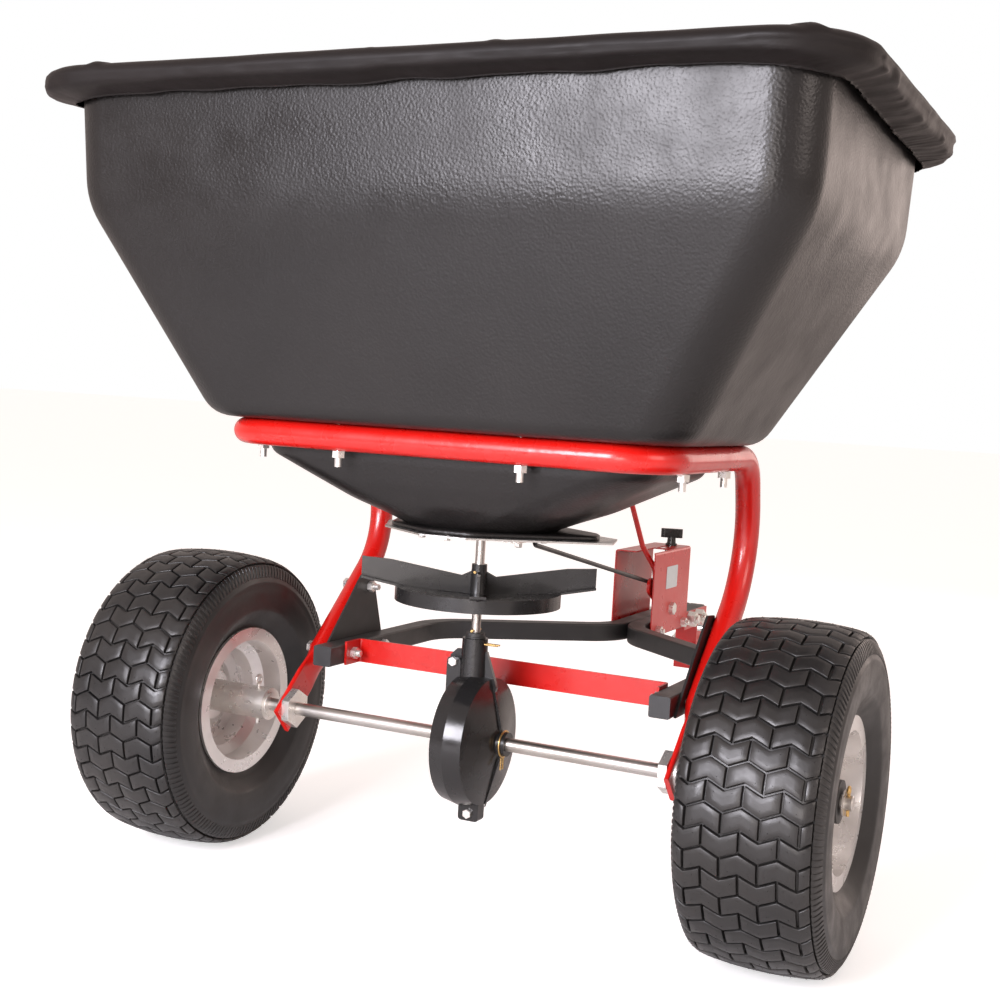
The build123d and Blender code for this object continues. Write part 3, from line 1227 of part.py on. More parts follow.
# =====================================================================  hitch
SADDLE_REAR = 690.0
SADDLE_FRONT = 800.0
CHANNEL_TOP = BAR_Z - BAR / 2
YOKE_REAR = CHANNEL_Y + HITCH_T + 3
SPARE_R = 5.25
SPARE_Y = 812.0
SPARE_Z = 172.0
YOKE_BOLT = (812.0, 200.0)
with BuildPart() as hitch_bracket:
    with BuildSketch(across(SADDLE_REAR)):
        Polygon(
            (-BAR - HITCH_T, BAR_Z + 11), (-BAR - HITCH_T, CHANNEL_TOP - HITCH_T),
            (BAR + HITCH_T, CHANNEL_TOP - HITCH_T), (BAR + HITCH_T, BAR_Z + 11),
            (BAR + 0.1, BAR_Z + 11), (BAR + 0.1, CHANNEL_TOP - 0.1), (-BAR - 0.1, CHANNEL_TOP - 0.1),
            (-BAR - 0.1, BAR_Z + 11), align=None,
        )
    extrude(amount=SADDLE_REAR - SADDLE_FRONT)
    with BuildSketch(plan(CHANNEL_BOTTOM)):
        with Locations((0, CHANNEL_Y + HITCH_T / 2)):
            Rectangle(2 * CHANNEL_HALF, HITCH_T)
        for way in (-1, 1):
            with Locations((way * (CHANNEL_HALF - HITCH_T / 2), CHANNEL_Y + 18)):
                Rectangle(HITCH_T, 36)
    extrude(amount=CHANNEL_TOP - CHANNEL_BOTTOM - HITCH_T / 2)
    for hole_y, hole_z in HITCH_BOLTS:
        with Locations(aimed(0, hole_y, hole_z, (1, 0, 0))):
            Cylinder(BOLT_14 / 2 + SLIP, 80, mode=Mode.SUBTRACT)
    with Locations(aimed(0, *YOKE_BOLT, (1, 0, 0))):
        Cylinder(BOLT_10 / 2 + SLIP, 80, mode=Mode.SUBTRACT)
    with Locations(aimed(0, SPARE_Y, SPARE_Z, (1, 0, 0))):
        Cylinder(SPARE_R, 80, mode=Mode.SUBTRACT)
hitch_bracket.part.label = "hitch_bracket"
export_step(hitch_bracket.part, "parts/hitch_bracket.step")

YOKE_HALF = CHANNEL_HALF - HITCH_T
yoke_out = YOKE_GAP / 2 + EAR_T
with BuildPart() as hitch_yoke:
    with Locations((0, AXLE_Y + (YOKE_REAR + 836) / 2, YOKE_Z)):
        Box(2 * YOKE_HALF - 0.2, 836 - YOKE_REAR, 2 * yoke_out)
    for low in (YOKE_Z - yoke_out, YOKE_Z + YOKE_GAP / 2):
        with BuildSketch(plan(low)):
            with BuildLine():
                Polyline(
                    (-YOKE_HALF + 0.1, 828), (YOKE_HALF - 0.1, 828), (EAR_HALF, 840),
                    (EAR_HALF, HITCH_REACH - 6),
                    (EAR_HALF - 6, HITCH_REACH), (-EAR_HALF + 6, HITCH_REACH), (-EAR_HALF, HITCH_REACH - 6),
                    (-EAR_HALF, 840), close=True,
                )
            make_face()
        extrude(amount=EAR_T)
    with Locations(aimed(0, HITCH_PIN_Y, YOKE_Z, (0, 0, 1))):
        Cylinder(HITCH_PIN_D / 2, 60, mode=Mode.SUBTRACT)
    with Locations(aimed(0, *YOKE_BOLT, (1, 0, 0))):
        Cylinder(BOLT_10 / 2 + SLIP, 80, mode=Mode.SUBTRACT)
hitch_yoke.part.label = "hitch_yoke"
export_step(hitch_yoke.part, "parts/hitch_yoke.step")

saddle_face = BAR + HITCH_T
with BuildPart() as hitch_bolts:
    for hole_y, hole_z in HITCH_BOLTS:
        with Locations(aimed(-saddle_face, hole_y, hole_z, (1, 0, 0))):
            add(hex_bolt(BOLT_14, 2 * saddle_face + 18, 21, 8.8))
    with Locations(aimed(CHANNEL_HALF, *YOKE_BOLT, (-1, 0, 0))):
        add(hex_bolt(BOLT_10, 2 * CHANNEL_HALF + 12, 16, 6.4))
hitch_bolts.part.label = "hitch_bolts"
export_step(hitch_bolts.part, "parts/hitch_bolts.step")

with BuildPart() as hitch_nuts:
    for hole_y, hole_z in HITCH_BOLTS:
        with Locations(aimed(saddle_face, hole_y, hole_z, (1, 0, 0))):
            add(hex_nut(BOLT_14, 21, 12.8))
    with Locations(aimed(-CHANNEL_HALF, *YOKE_BOLT, (-1, 0, 0))):
        add(hex_nut(BOLT_10, 16, 8.4))
hitch_nuts.part.label = "hitch_nuts"
export_step(hitch_nuts.part, "parts/hitch_nuts.step")
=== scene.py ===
import json
import math

import bpy
from mathutils import Matrix, Vector, noise


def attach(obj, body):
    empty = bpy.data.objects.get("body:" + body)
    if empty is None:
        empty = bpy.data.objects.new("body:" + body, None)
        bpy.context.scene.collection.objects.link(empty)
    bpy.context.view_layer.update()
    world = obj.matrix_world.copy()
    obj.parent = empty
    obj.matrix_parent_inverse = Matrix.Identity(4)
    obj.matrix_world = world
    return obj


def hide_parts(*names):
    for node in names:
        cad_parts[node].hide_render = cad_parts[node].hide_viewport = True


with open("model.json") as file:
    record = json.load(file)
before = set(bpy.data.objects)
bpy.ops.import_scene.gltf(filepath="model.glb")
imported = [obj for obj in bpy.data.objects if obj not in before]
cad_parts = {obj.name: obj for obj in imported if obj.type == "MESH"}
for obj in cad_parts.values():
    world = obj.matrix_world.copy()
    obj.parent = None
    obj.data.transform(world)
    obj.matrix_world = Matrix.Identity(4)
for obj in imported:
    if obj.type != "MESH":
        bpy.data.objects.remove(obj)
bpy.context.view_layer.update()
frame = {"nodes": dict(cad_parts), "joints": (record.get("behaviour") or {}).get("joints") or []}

# ---------------------------------------------------------------- camera, floor and light
# A low, slightly tilted view from behind the right wheel, with a 52 mm lens, on a plain pale floor.
# The camera keeps its place to the wheels' axle. Lengths are in metres here and in mm further down.
AXLE = Vector(next(joint["pos_m"] for joint in frame["joints"] if joint["name"] == "axle_spin"))
EYE = (0.7471, AXLE.y - 1.5181, 0.5878)
YAW, PITCH, ROLL = 0.446, -0.069, 0.058
FLOOR_HALF, FLOOR_Z = 30, -0.0005


def shader(name):
    """A new material: its node tree, its main shader and its object coordinates."""
    made = bpy.data.materials.new(name)
    made.use_nodes = True
    tree = made.node_tree
    return made, tree, tree.nodes["Principled BSDF"], tree.nodes.new("ShaderNodeTexCoord").outputs["Object"]


def grain(tree, where, scale, detail=4.0, rough=0.55, stretch=None):
    """Noise in object space, stretched along one way where asked."""
    if stretch:
        turn = tree.nodes.new("ShaderNodeMapping")
        turn.inputs["Scale"].default_value = stretch
        tree.links.new(where, turn.inputs["Vector"])
        where = turn.outputs["Vector"]
    made = tree.nodes.new("ShaderNodeTexNoise")
    made.inputs["Scale"].default_value = scale
    made.inputs["Detail"].default_value = detail
    made.inputs["Roughness"].default_value = rough
    tree.links.new(where, made.inputs["Vector"])
    return made.outputs["Fac"]


def spread(tree, value, low, high, start=0.3, end=0.7):
    """The value spread over a new span."""
    made = tree.nodes.new("ShaderNodeMapRange")
    made.inputs["From Min"].default_value = start
    made.inputs["From Max"].default_value = end
    made.inputs["To Min"].default_value = low
    made.inputs["To Max"].default_value = high
    tree.links.new(value, made.inputs["Value"])
    return made.outputs["Result"]


def tint(tree, value, low, high):
    """Two colours mixed by the value."""
    made = tree.nodes.new("ShaderNodeMix")
    made.data_type = "RGBA"
    made.inputs["A"].default_value = (*low, 1)
    made.inputs["B"].default_value = (*high, 1)
    tree.links.new(value, made.inputs["Factor"])
    return made.outputs["Result"]


def colour(tree, main, value, low, high):
    """Colours the surface between two tones by the value."""
    tree.links.new(tint(tree, value, low, high), main.inputs["Base Color"])


def solid(name, points, faces, material):
    """A smooth mesh piece in the row frame."""
    mesh = bpy.data.meshes.new(name)
    mesh.from_pydata(points, [], faces)
    mesh.materials.append(material)
    mesh.validate()
    mesh.polygons.foreach_set("use_smooth", [True] * len(mesh.polygons))
    piece = bpy.data.objects.new(name, mesh)
    bpy.context.scene.collection.objects.link(piece)
    return piece


ahead = Vector((-math.sin(YAW) * math.cos(PITCH), math.cos(YAW) * math.cos(PITCH), math.sin(PITCH)))
level = Vector((math.cos(YAW), math.sin(YAW), 0))
upright = level.cross(ahead)
across = level * math.cos(ROLL) + upright * math.sin(ROLL)
above = upright * math.cos(ROLL) - level * math.sin(ROLL)
lens = bpy.data.cameras.new("camera")
lens.lens = 52.5
lens.sensor_width = 36
lens.shift_y = -0.0025
lens.clip_start = 0.05
camera = bpy.data.objects.new("camera", lens)
camera.matrix_world = Matrix.Translation(EYE) @ Matrix((across, above, -ahead)).transposed().to_4x4()
bpy.context.scene.collection.objects.link(camera)
bpy.context.scene.camera = camera

# The floor is a matt pale sheet, which glows a little to the camera alone.
pale, tree, main, where = shader("pale_floor")
colour(tree, main, grain(tree, where, 3.0), (0.86, 0.855, 0.85), (0.9, 0.895, 0.89))
main.inputs["Roughness"].default_value = 0.9
main.inputs["Emission Color"].default_value = (1, 1, 1, 1)
seen = tree.nodes.new("ShaderNodeLightPath").outputs["Is Camera Ray"]
tree.links.new(spread(tree, seen, 0.0, 0.5, 0.0, 1.0), main.inputs["Emission Strength"])
sheet = [(x * FLOOR_HALF, y * FLOOR_HALF, FLOOR_Z) for x, y in ((-1, -1), (1, -1), (1, 1), (-1, 1))]
floor = solid("floor", sheet, [(0, 1, 2, 3)], pale)

# The sky is white to the camera and a warmer, dimmer white to everything else.
sky = bpy.data.worlds.new("sky")
sky.use_nodes = True
tree = sky.node_tree
seen = tree.nodes.new("ShaderNodeLightPath").outputs["Is Camera Ray"]
backdrop = tree.nodes["Background"]
tree.links.new(tint(tree, seen, (0.98, 0.83, 0.77), (1, 1, 1)), backdrop.inputs["Color"])
tree.links.new(spread(tree, seen, 0.66, 1.0, 0.0, 1.0), backdrop.inputs["Strength"])
bpy.context.scene.world = sky
bpy.context.scene.view_settings.view_transform = "Standard"

# Four soft lamps, none of them in sight.
for name, place, aim, power, wide, hue in (
    ("key", (-0.38, -2.9, 1.14), (0.2, -0.5, 0.85), 112, 1.1, (0.94, 0.92, 1.0)),
    ("side", (3.4, -1.2, 1.6), (0.2, -0.2, 0.4), 26, 1.4, (1, 0.88, 0.82)),
    ("low", (0.9, -3.2, 0.5), (0, -0.2, 0.3), 16, 0.7, (1, 0.92, 0.88)),
    ("far", (1.5, 2.9, 1.2), (0.4, -0.3, 0.7), 16, 1.8, (1, 0.82, 0.74)),
):
    lamp = bpy.data.lights.new(name, "AREA")
    lamp.energy = power
    lamp.size = wide
    lamp.color = hue
    light = bpy.data.objects.new(name, lamp)
    light.location = place
    light.rotation_euler = (Vector(aim) - Vector(place)).to_track_quat("-Z", "Y").to_euler()
    light.visible_camera = False
    bpy.context.scene.collection.objects.link(light)

# ---------------------------------------------------------------- tyres
# Tubeless turf tyres of moulded rubber, seated on their rims: chevron blocks in staggered rows,
# ribbed shoulders, plain sidewalls with moulding rings, and the short hairs of the mould's vents.
# Every point is given by its arc length from the tread's middle, its turn and how deep it lies.
TREAD_R = 185
TREAD_END = 40
TURNS = 220
BLOCK_ROWS, BLOCK_STEP, GROOVE, SWAY = 52, 19.0, 2.7, 4.3
TREAD_EDGE = 3.65
ROW_TURN = math.tau / BLOCK_ROWS
BLOCK_SPAN = ROW_TURN * TREAD_R - GROOVE
BLOCK_FOOT, BLOCK_SIDE, BLOCK_ROUND = 4.9, 0.9, 0.3
HAIR_R, HAIR_SIDES, HAIR_FOOT, HAIR_TIP = 0.55, 5, 0.1, -0.9
SHOULDER_RIBS = BLOCK_ROWS * 3
half_profile = [
    (0, 185.1), (20, 184.6), (40, 183.0), (57, 180.8), (67, 176.6), (73.2, 166.5), (76.9, 154), (78.3, 141),
    (77.2, 128), (75, 118), (71.4, 110), (65.5, 101.5), (59.8, 95.0), (58.3, 88), (58.3, 80),
]
carcass_depths = [(s, 4.6) for s in (0, 12, 24, 36, 46, 54, 60, 65, 69, 71.5)] + [
    (72.5, 1.6), (74, 1.2), (80, 1.0), (88, 1.1), (92, 1.2), (94, 0.5), (96.5, 0.5), (98.5, 1.2),
    (104, 1.2), (112, 1.0), (120, 0.9), (126, 0.8), (131, 0.0), (134, 0.0), (138, 0.7), (146, 0.8),
    (152, 0.6), (156, 0.6), (160, 0.6), (166, 0.6),
]
half_lining = [(47.5, 79.3), (50, 100), (62, 130), (64, 150), (52, 170), (0, 174)]
rib_stations = ((71.8, 0.0, 4.0), (76, 0.006, 0.0), (82, 0.013, 0.0), (88.5, 0.02, 0.0), (90, 0.021, 4.0))
rib_section = ((0, 1.9), (0.5, 0.35), (1.2, 0.15), (3.6, 0.15), (4.3, 0.35), (4.8, 1.9))


def patches(tree, where, scale, detail=4.0, rough=0.55):
    """Noise in strong patches, from 0 to 1."""
    return spread(tree, grain(tree, where, scale, detail, rough), 0, 1)


def dullness(tree, main, value, low, high):
    """Makes the surface glossier or duller by the value."""
    tree.links.new(spread(tree, value, low, high), main.inputs["Roughness"])


def relief(tree, value, main, strength, depth):
    """Bump in metres, stacked on any bump the shader already has."""
    made = tree.nodes.new("ShaderNodeBump")
    made.inputs["Strength"].default_value = strength
    made.inputs["Distance"].default_value = depth
    tree.links.new(value, made.inputs["Height"])
    if main.inputs["Normal"].is_linked:
        tree.links.new(main.inputs["Normal"].links[0].from_socket, made.inputs["Normal"])
    tree.links.new(made.outputs["Normal"], main.inputs["Normal"])


def ripple(x, y, z):
    """Smooth noise, always the same at one place."""
    return noise.noise(Vector((x, y, z)))


def band(faces, rows):
    """Faces between rows of points; a row that goes right round ends on its first point."""
    for low, high in zip(rows, rows[1:]):
        for k in range(len(low) - 1):
            faces.append((low[k], low[k + 1], high[k + 1], high[k]))


def smooth_run(points, steps):
    """Catmull-Rom through the points."""
    out = []
    for i in range(len(points) - 1):
        a, b = Vector(points[max(i - 1, 0)]), Vector(points[i])
        c, d = Vector(points[i + 1]), Vector(points[min(i + 2, len(points) - 1)])
        for k in range(steps):
            t = k / steps
            square, cube = 2 * a - 5 * b + 4 * c - d, 3 * b - a - 3 * c + d
            out.append(0.5 * (2 * b + (c - a) * t + square * t * t + cube * t ** 3))
    out.append(Vector(points[-1]))
    return out


run = smooth_run(half_profile, 8)
reach = [0.0]
for one, two in zip(run, run[1:]):
    reach.append(reach[-1] + (two - one).length)


def wall_point(s, deep):
    """The tyre's section at arc length s from its middle, some way under the surface."""
    far = min(abs(s), reach[-1] - 1e-4)
    i = next(k for k in range(len(reach) - 1) if reach[k + 1] >= far)
    t = (far - reach[i]) / (reach[i + 1] - reach[i])
    spot = run[i].lerp(run[i + 1], t)
    lean = (run[i + 1] - run[i]).normalized()
    out = Vector((-lean.y, lean.x))
    if (out.y if far < TREAD_END else out.x) < 0:
        out = -out
    spot = spot - out * deep
    return (math.copysign(spot.x, s) if s else 0.0, spot.y)


def zig(s):
    """How far a chevron runs ahead or behind at arc length s."""
    low = math.floor(s / BLOCK_STEP)
    part = s / BLOCK_STEP - low
    return (SWAY if low % 2 else -SWAY) * (1 - 2 * part)


def block_stations(s0, s1):
    """Stations across a block, over its rounded edges and its creases."""
    creases = [j * BLOCK_STEP for j in range(-4, 5) if s0 + 3 < j * BLOCK_STEP < s1 - 3]
    inside = [s0 + 0.7] + creases + [s1 - 0.7]
    stations = [(s0 - 0.5, BLOCK_FOOT), (s0, BLOCK_SIDE), (s0 + 0.25, BLOCK_ROUND)]
    for p, q in zip(inside, inside[1:]):
        stations += [(p, 0.0), ((p + q) / 2, 0.0)]
    stations.append((inside[-1], 0.0))
    return stations + [(s1 - 0.25, BLOCK_ROUND), (s1, BLOCK_SIDE), (s1 + 0.5, BLOCK_FOOT)]


def tyre(name, centre, body, node, seed):
    """One tyre over the wheel's middle at centre; seed sets the lie of its hairs."""
    points, faces = [], []

    def place(x, r, turn):
        y, z = AXLE.y + r * math.cos(turn) / 1000, AXLE.z + r * math.sin(turn) / 1000
        points.append(((centre + x) / 1000, y, z))
        return len(points) - 1

    def put(s, turn, deep):
        x, r = wall_point(s, deep)
        return place(x, r, turn)

    # the carcass, sunk under the tread, and its lining
    section = [(s, deep) for s, deep in carcass_depths if s < reach[-1]]
    ring = [(-s, deep) for s, deep in reversed(section[1:])] + section
    lining = half_lining + [(-x, r) for x, r in reversed(half_lining[:-1])]
    rows = []
    for k in range(TURNS):
        turn = math.tau * k / TURNS
        row = [put(s, turn, deep) for s, deep in ring]
        row += [place(x, r, turn) for x, r in lining]
        rows.append(row + row[:1])
    band(faces, rows + rows[:1])

    # chevron blocks in staggered rows
    rise = [(-0.5, BLOCK_FOOT), (0, BLOCK_SIDE), (0.25, BLOCK_ROUND), (0.8, 0)]
    flat = [(BLOCK_SPAN / 3, 0), (BLOCK_SPAN * 2 / 3, 0), (BLOCK_SPAN - 0.8, 0)]
    fall = [(BLOCK_SPAN - 0.25, BLOCK_ROUND), (BLOCK_SPAN, BLOCK_SIDE), (BLOCK_SPAN + 0.5, BLOCK_FOOT)]
    for row_no in range(BLOCK_ROWS):
        inner_marks = [-3, -1, 1, 3] if row_no % 2 else [-2, 0, 2]
        marks = [-TREAD_EDGE] + inner_marks + [TREAD_EDGE]
        for a, b in zip(marks, marks[1:]):
            s0 = a * BLOCK_STEP if a == -TREAD_EDGE else a * BLOCK_STEP + GROOVE / 2
            s1 = b * BLOCK_STEP if b == TREAD_EDGE else b * BLOCK_STEP - GROOVE / 2
            stations = block_stations(s0, s1)
            rows = []
            for t, deep_t in rise + flat + fall:
                row = []
                for s, deep_s in stations:
                    turn = row_no * ROW_TURN + (t + GROOVE / 2 + zig(max(s0, min(s, s1)))) / TREAD_R
                    row.append(put(s, turn, max(deep_s, deep_t)))
                rows.append(row)
            band(faces, rows)
            # vent hairs, worn off where the tyre stands on the floor
            for k in range(3):
                jitter = ripple(row_no * 3.1 + seed, a * 7.7, k * 5.3)
                s = s0 + (s1 - s0) * (0.2 + 0.3 * k) + jitter * 4
                t = GROOVE / 2 + BLOCK_SPAN * (0.3 + 0.4 * ((k + row_no) % 2)) + jitter * 3
                turn = row_no * ROW_TURN + (t + zig(s)) / TREAD_R
                if s0 + 2 < s < s1 - 2 and math.sin(turn) > -0.96:
                    base = []
                    for c in range(HAIR_SIDES):
                        way = c * math.tau / HAIR_SIDES
                        aside, along = HAIR_R * math.cos(way), HAIR_R * math.sin(way) / TREAD_R
                        base.append(put(s + aside, turn + along, HAIR_FOOT))
                    tip = put(s, turn, HAIR_TIP)
                    for c in range(HAIR_SIDES):
                        faces.append((base[c], base[(c + 1) % HAIR_SIDES], tip))

    # shoulder ribs, three to each row of blocks, on both sides
    for side in (-1, 1):
        for k in range(SHOULDER_RIBS):
            turn = math.tau * k / SHOULDER_RIBS
            rows = []
            for s, lean, edge in rib_stations:
                sunk = 0.2 + edge / 4 * 1.3
                row = []
                for t, deep in rib_section:
                    row.append(put(side * s, turn + lean + t / TREAD_R, max(deep, sunk)))
                rows.append(row)
            band(faces, rows)

    piece = solid(name, points, faces, rubber)
    edges = piece.modifiers.new("edges", "EDGE_SPLIT")
    edges.split_angle = math.radians(42)
    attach(piece, body)
    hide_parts(node)
    return piece


rubber, tree, main, where = shader("tyre_rubber")
colour(tree, main, patches(tree, where, 9.0, 5.0), (0.0075, 0.0075, 0.008), (0.02, 0.0187, 0.0175))
dullness(tree, main, grain(tree, where, 40.0), 0.3, 0.5)
main.inputs["Specular IOR Level"].default_value = 0.5
relief(tree, grain(tree, where, 900.0, 3.0), main, 0.25, 0.0004)
relief(tree, grain(tree, where, 130.0, 3.0), main, 0.2, 0.0006)
tyre("turf_tyre_left", -381, "drive_axle", "tyre_left", 1.0)
tyre("turf_tyre_right", 381, "right_wheel", "tyre_right", 2.0)

# ---------------------------------------------------------------- hopper
# One rotationally moulded polyethylene tub: a deep bowl with soft corners and a rolled rim, a flat
# ledge over the frame, a short neck, a shallow funnel, and a lobed foot that is screwed to the base
# plate. The skin has a fine pebble and a dull shine.
THROAT_R = 74.5
FOOT_CORNER = 12
wall_stations = [
    (432, 76, 76, 75.5, 0), (447, 110, 89, 78, 7), (462, 149, 101, 76, 10), (483, 190, 113, 72, 12),
    (511, 244, 125, 62, 12), (547.6, 244, 125, 62, 2), (547.9, 290, 170, 56, 22), (779.5, 421, 242, 50, 26),
    (900, 426.5, 249.5, 52, 3), (904, 428, 251, 53, 3), (905, 456, 279, 81, 2), (897, 459, 282, 84, 1.5),
    (899, 462, 285, 87, 1.5), (910, 461, 284, 86, 3), (912, 454, 277, 79, 3), (911.8, 426, 249, 51, 4),
    (900, 422.5, 245.5, 48, 4), (782, 417, 238, 46, 24), (552, 286, 166, 52, 18), (551.8, 240, 121, 58, 3),
    (514, 240, 121, 58, 10), (487, 186, 109, 68, 10), (466, 145, 97, 72, 8), (450, 106, 85, 74, 5),
    (432, 72, 72, 71.5, 0),
]
foot = [(-118, 12), (-104, 62), (-20, 84), (66, 84), (132, 42), (146, 2), (34, -96), (-22, -98), (-92, -52)]
foot_layers = ((432, 0.98), (433, 1.0), (436, 1.0), (437.2, 0.985))


def loop(half_w, half_d, corner, z, straight=14, bend=18):
    """Points round a rounded rectangle over the axle, the same number for every size."""
    corner = min(corner, half_w, half_d)
    spots = []
    signs = ((1, 1), (-1, 1), (-1, -1), (1, -1))
    for quarter, (sx, sy) in enumerate(signs):
        cx, cy = sx * (half_w - corner), sy * (half_d - corner)
        for k in range(bend + 1):
            turn = math.pi / 2 * (quarter + k / bend)
            spots.append((cx + corner * math.cos(turn), cy + corner * math.sin(turn)))
        sx, sy = signs[(quarter + 1) % 4]
        cx, cy = sx * (half_w - corner), sy * (half_d - corner)
        turn = math.pi / 2 * (quarter + 1)
        goal = (cx + corner * math.cos(turn), cy + corner * math.sin(turn))
        start = spots[-1]
        for k in range(1, straight):
            t = k / straight
            spots.append((start[0] + (goal[0] - start[0]) * t, start[1] + (goal[1] - start[1]) * t))
    return [(x / 1000, AXLE.y + y / 1000, z / 1000) for x, y in spots]


def add_ring(points, spots):
    """Adds points that go right round, and gives their numbers, with the first again at the end."""
    row = list(range(len(points), len(points) + len(spots)))
    points += spots
    return row + row[:1]


def eased(stations):
    """Rounds the corners of a run of stations: (z, half width, half depth, corner radius, ease)."""
    out = [Vector(stations[0][:4])]
    for before, here, after in zip(stations, stations[1:], stations[2:]):
        a, b, c = Vector(before[:4]), Vector(here[:4]), Vector(after[:4])
        near, far = (a - b).length, (c - b).length
        cut = min(here[4], near * 0.48, far * 0.48)
        p, q = b + (a - b) * (cut / near), b + (c - b) * (cut / far)
        for k in range(7):
            t = k / 6
            out.append(p * (1 - t) ** 2 + b * 2 * t * (1 - t) + q * t * t)
    out.append(Vector(stations[-1][:4]))
    return out


poly, tree, main, where = shader("pebbled_polyethylene")
colour(tree, main, patches(tree, where, 3.2, 5.0), (0.0062, 0.0056, 0.0056), (0.0115, 0.0102, 0.0098))
dullness(tree, main, grain(tree, where, 16.0, 6.0), 0.3, 0.44)
main.inputs["Specular IOR Level"].default_value = 0.38
pebble = tree.nodes.new("ShaderNodeTexVoronoi")
pebble.feature = "SMOOTH_F1"
pebble.inputs["Scale"].default_value = 360.0
tree.links.new(where, pebble.inputs["Vector"])
relief(tree, pebble.outputs["Distance"], main, 0.5, 0.0006)
relief(tree, grain(tree, where, 150.0, 3.0, 0.6), main, 0.2, 0.0006)
relief(tree, grain(tree, where, 9.0, 2.0), main, 0.06, 0.003)

# the wall, up its outside, over the rim and down its inside, closed at the throat
points, faces, rows = [], [], []
for z, w, d, r in eased(wall_stations):
    rows.append(add_ring(points, loop(w, d, r, z)))
band(faces, rows + rows[:1])

# the lobed foot, a flat plate with rounded corners round the throat
ring = []
for k, (x, y) in enumerate(foot):
    before, here, after = Vector(foot[k - 1]), Vector((x, y)), Vector(foot[(k + 1) % len(foot)])
    p = here + (before - here).normalized() * FOOT_CORNER
    q = here + (after - here).normalized() * FOOT_CORNER
    for t in (0, 0.25, 0.5, 0.75, 1):
        ring.append(p * (1 - t) ** 2 + here * 2 * t * (1 - t) + q * t * t)
rows = []
for z, grow in foot_layers:
    layer = [(v.x * grow / 1000, AXLE.y + v.y * grow / 1000, z / 1000) for v in ring]
    rows.append(add_ring(points, layer))
band(faces, rows)
turns = [math.atan2(v.y, v.x) for v in ring]
bore = [(THROAT_R * math.cos(turn) / 1000, AXLE.y + THROAT_R * math.sin(turn) / 1000) for turn in turns]
bores = []
for z in (foot_layers[0][0], foot_layers[-1][0]):
    bores.append(add_ring(points, [(x, y, z / 1000) for x, y in bore]))
for k in range(len(ring)):
    faces.append((rows[0][k + 1], rows[0][k], bores[0][k], bores[0][k + 1]))
    faces.append((rows[-1][k], rows[-1][k + 1], bores[1][k + 1], bores[1][k]))
tub = solid("hopper_tub", points, faces, poly)
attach(tub, "chassis")
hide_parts("hopper")

# ---------------------------------------------------------------- rain cover
# A coated nylon sheet pulled over the hopper's rim and held there by an elastic in its hem. It lies
# close along the back and the left, and hangs lower and looser along the right side and at the
# corners, where the hem is gathered into pleats.
SPAN = 720
HEM_Z, TURN_Z, TOP_Z = 891, 907, 928.2
OUTMOST = 472
SIDE_FLAT_D, SIDE_CORNER = 177, 375
RIGHT_FROM, RIGHT_OVER = 346, 70
PLEATS, PLEAT_HEIGHT, PLEAT_OVER = 236, 0.12, 0.34
LIP_STEP = 2
side_levels = [
    (0.0, 434), (0.05, 433.5), (0.1, 437), (0.17, 444), (0.24, 452), (0.32, 459.5), (0.4, 464), (0.5, 466),
    (0.62, 466.8), (0.75, 467.3), (0.88, 467.8), (1.0, 468),
]
top_stations = [
    (467.2, 290.2, 92, 911), (464, 287, 89, 915), (458, 281, 83, 918.2), (450, 273, 75, 919.6),
    (440, 263, 65, 919.4), (428, 251, 55, 918.2), (412, 235, 50, 917.4), (388, 212, 48, 917.4),
    (356, 186, 46, 918.6), (316, 158, 44, 920.4), (262, 124, 40, 922.0), (204, 92, 34, 923.4),
    (140, 60, 28, 924.4), (78, 32, 20, 925.0), (26, 10, 8, 925.2),
]


def fine_loop(half_w, half_d, corner):
    """Evenly spaced points and outward ways round a rounded rectangle."""
    corner = min(corner, half_w - 1, half_d - 1)
    sides = [2 * (half_d - corner), 2 * (half_w - corner)] * 2
    arc = math.pi / 2 * corner
    whole = sum(sides) + 4 * arc
    spots = []
    for k in range(SPAN):
        far = whole * k / SPAN
        for q, side in enumerate(sides):
            half = half_d if q % 2 else half_w
            turn = math.pi / 2 * q
            out = Vector((math.cos(turn), math.sin(turn)))
            go = Vector((-out.y, out.x))
            if far <= side:
                spots.append((out * half + go * (far - side / 2), out))
                break
            far -= side
            if far <= arc:
                heart = out * (half - corner) + go * (side / 2)
                turn += far / corner
                out = Vector((math.cos(turn), math.sin(turn)))
                spots.append((heart + out * corner, out))
                break
            far -= arc
    return spots


nylon, tree, main, where = shader("coated_nylon")
colour(tree, main, patches(tree, where, 6.0), (0.0055, 0.0042, 0.004), (0.0105, 0.008, 0.0075))
dullness(tree, main, grain(tree, where, 30.0), 0.46, 0.62)
main.inputs["Specular IOR Level"].default_value = 0.22
main.inputs["Sheen Weight"].default_value = 0.05
main.inputs["Sheen Roughness"].default_value = 0.35
main.inputs["Sheen Tint"].default_value = (0.75, 0.6, 0.58, 1)
for threads in ("X", "Y"):
    weave = tree.nodes.new("ShaderNodeTexWave")
    weave.bands_direction = threads
    weave.inputs["Scale"].default_value = 260.0
    tree.links.new(where, weave.inputs["Vector"])
    relief(tree, weave.outputs["Fac"], main, 0.12, 0.0002)
relief(tree, grain(tree, where, 26.0), main, 0.35, 0.002)

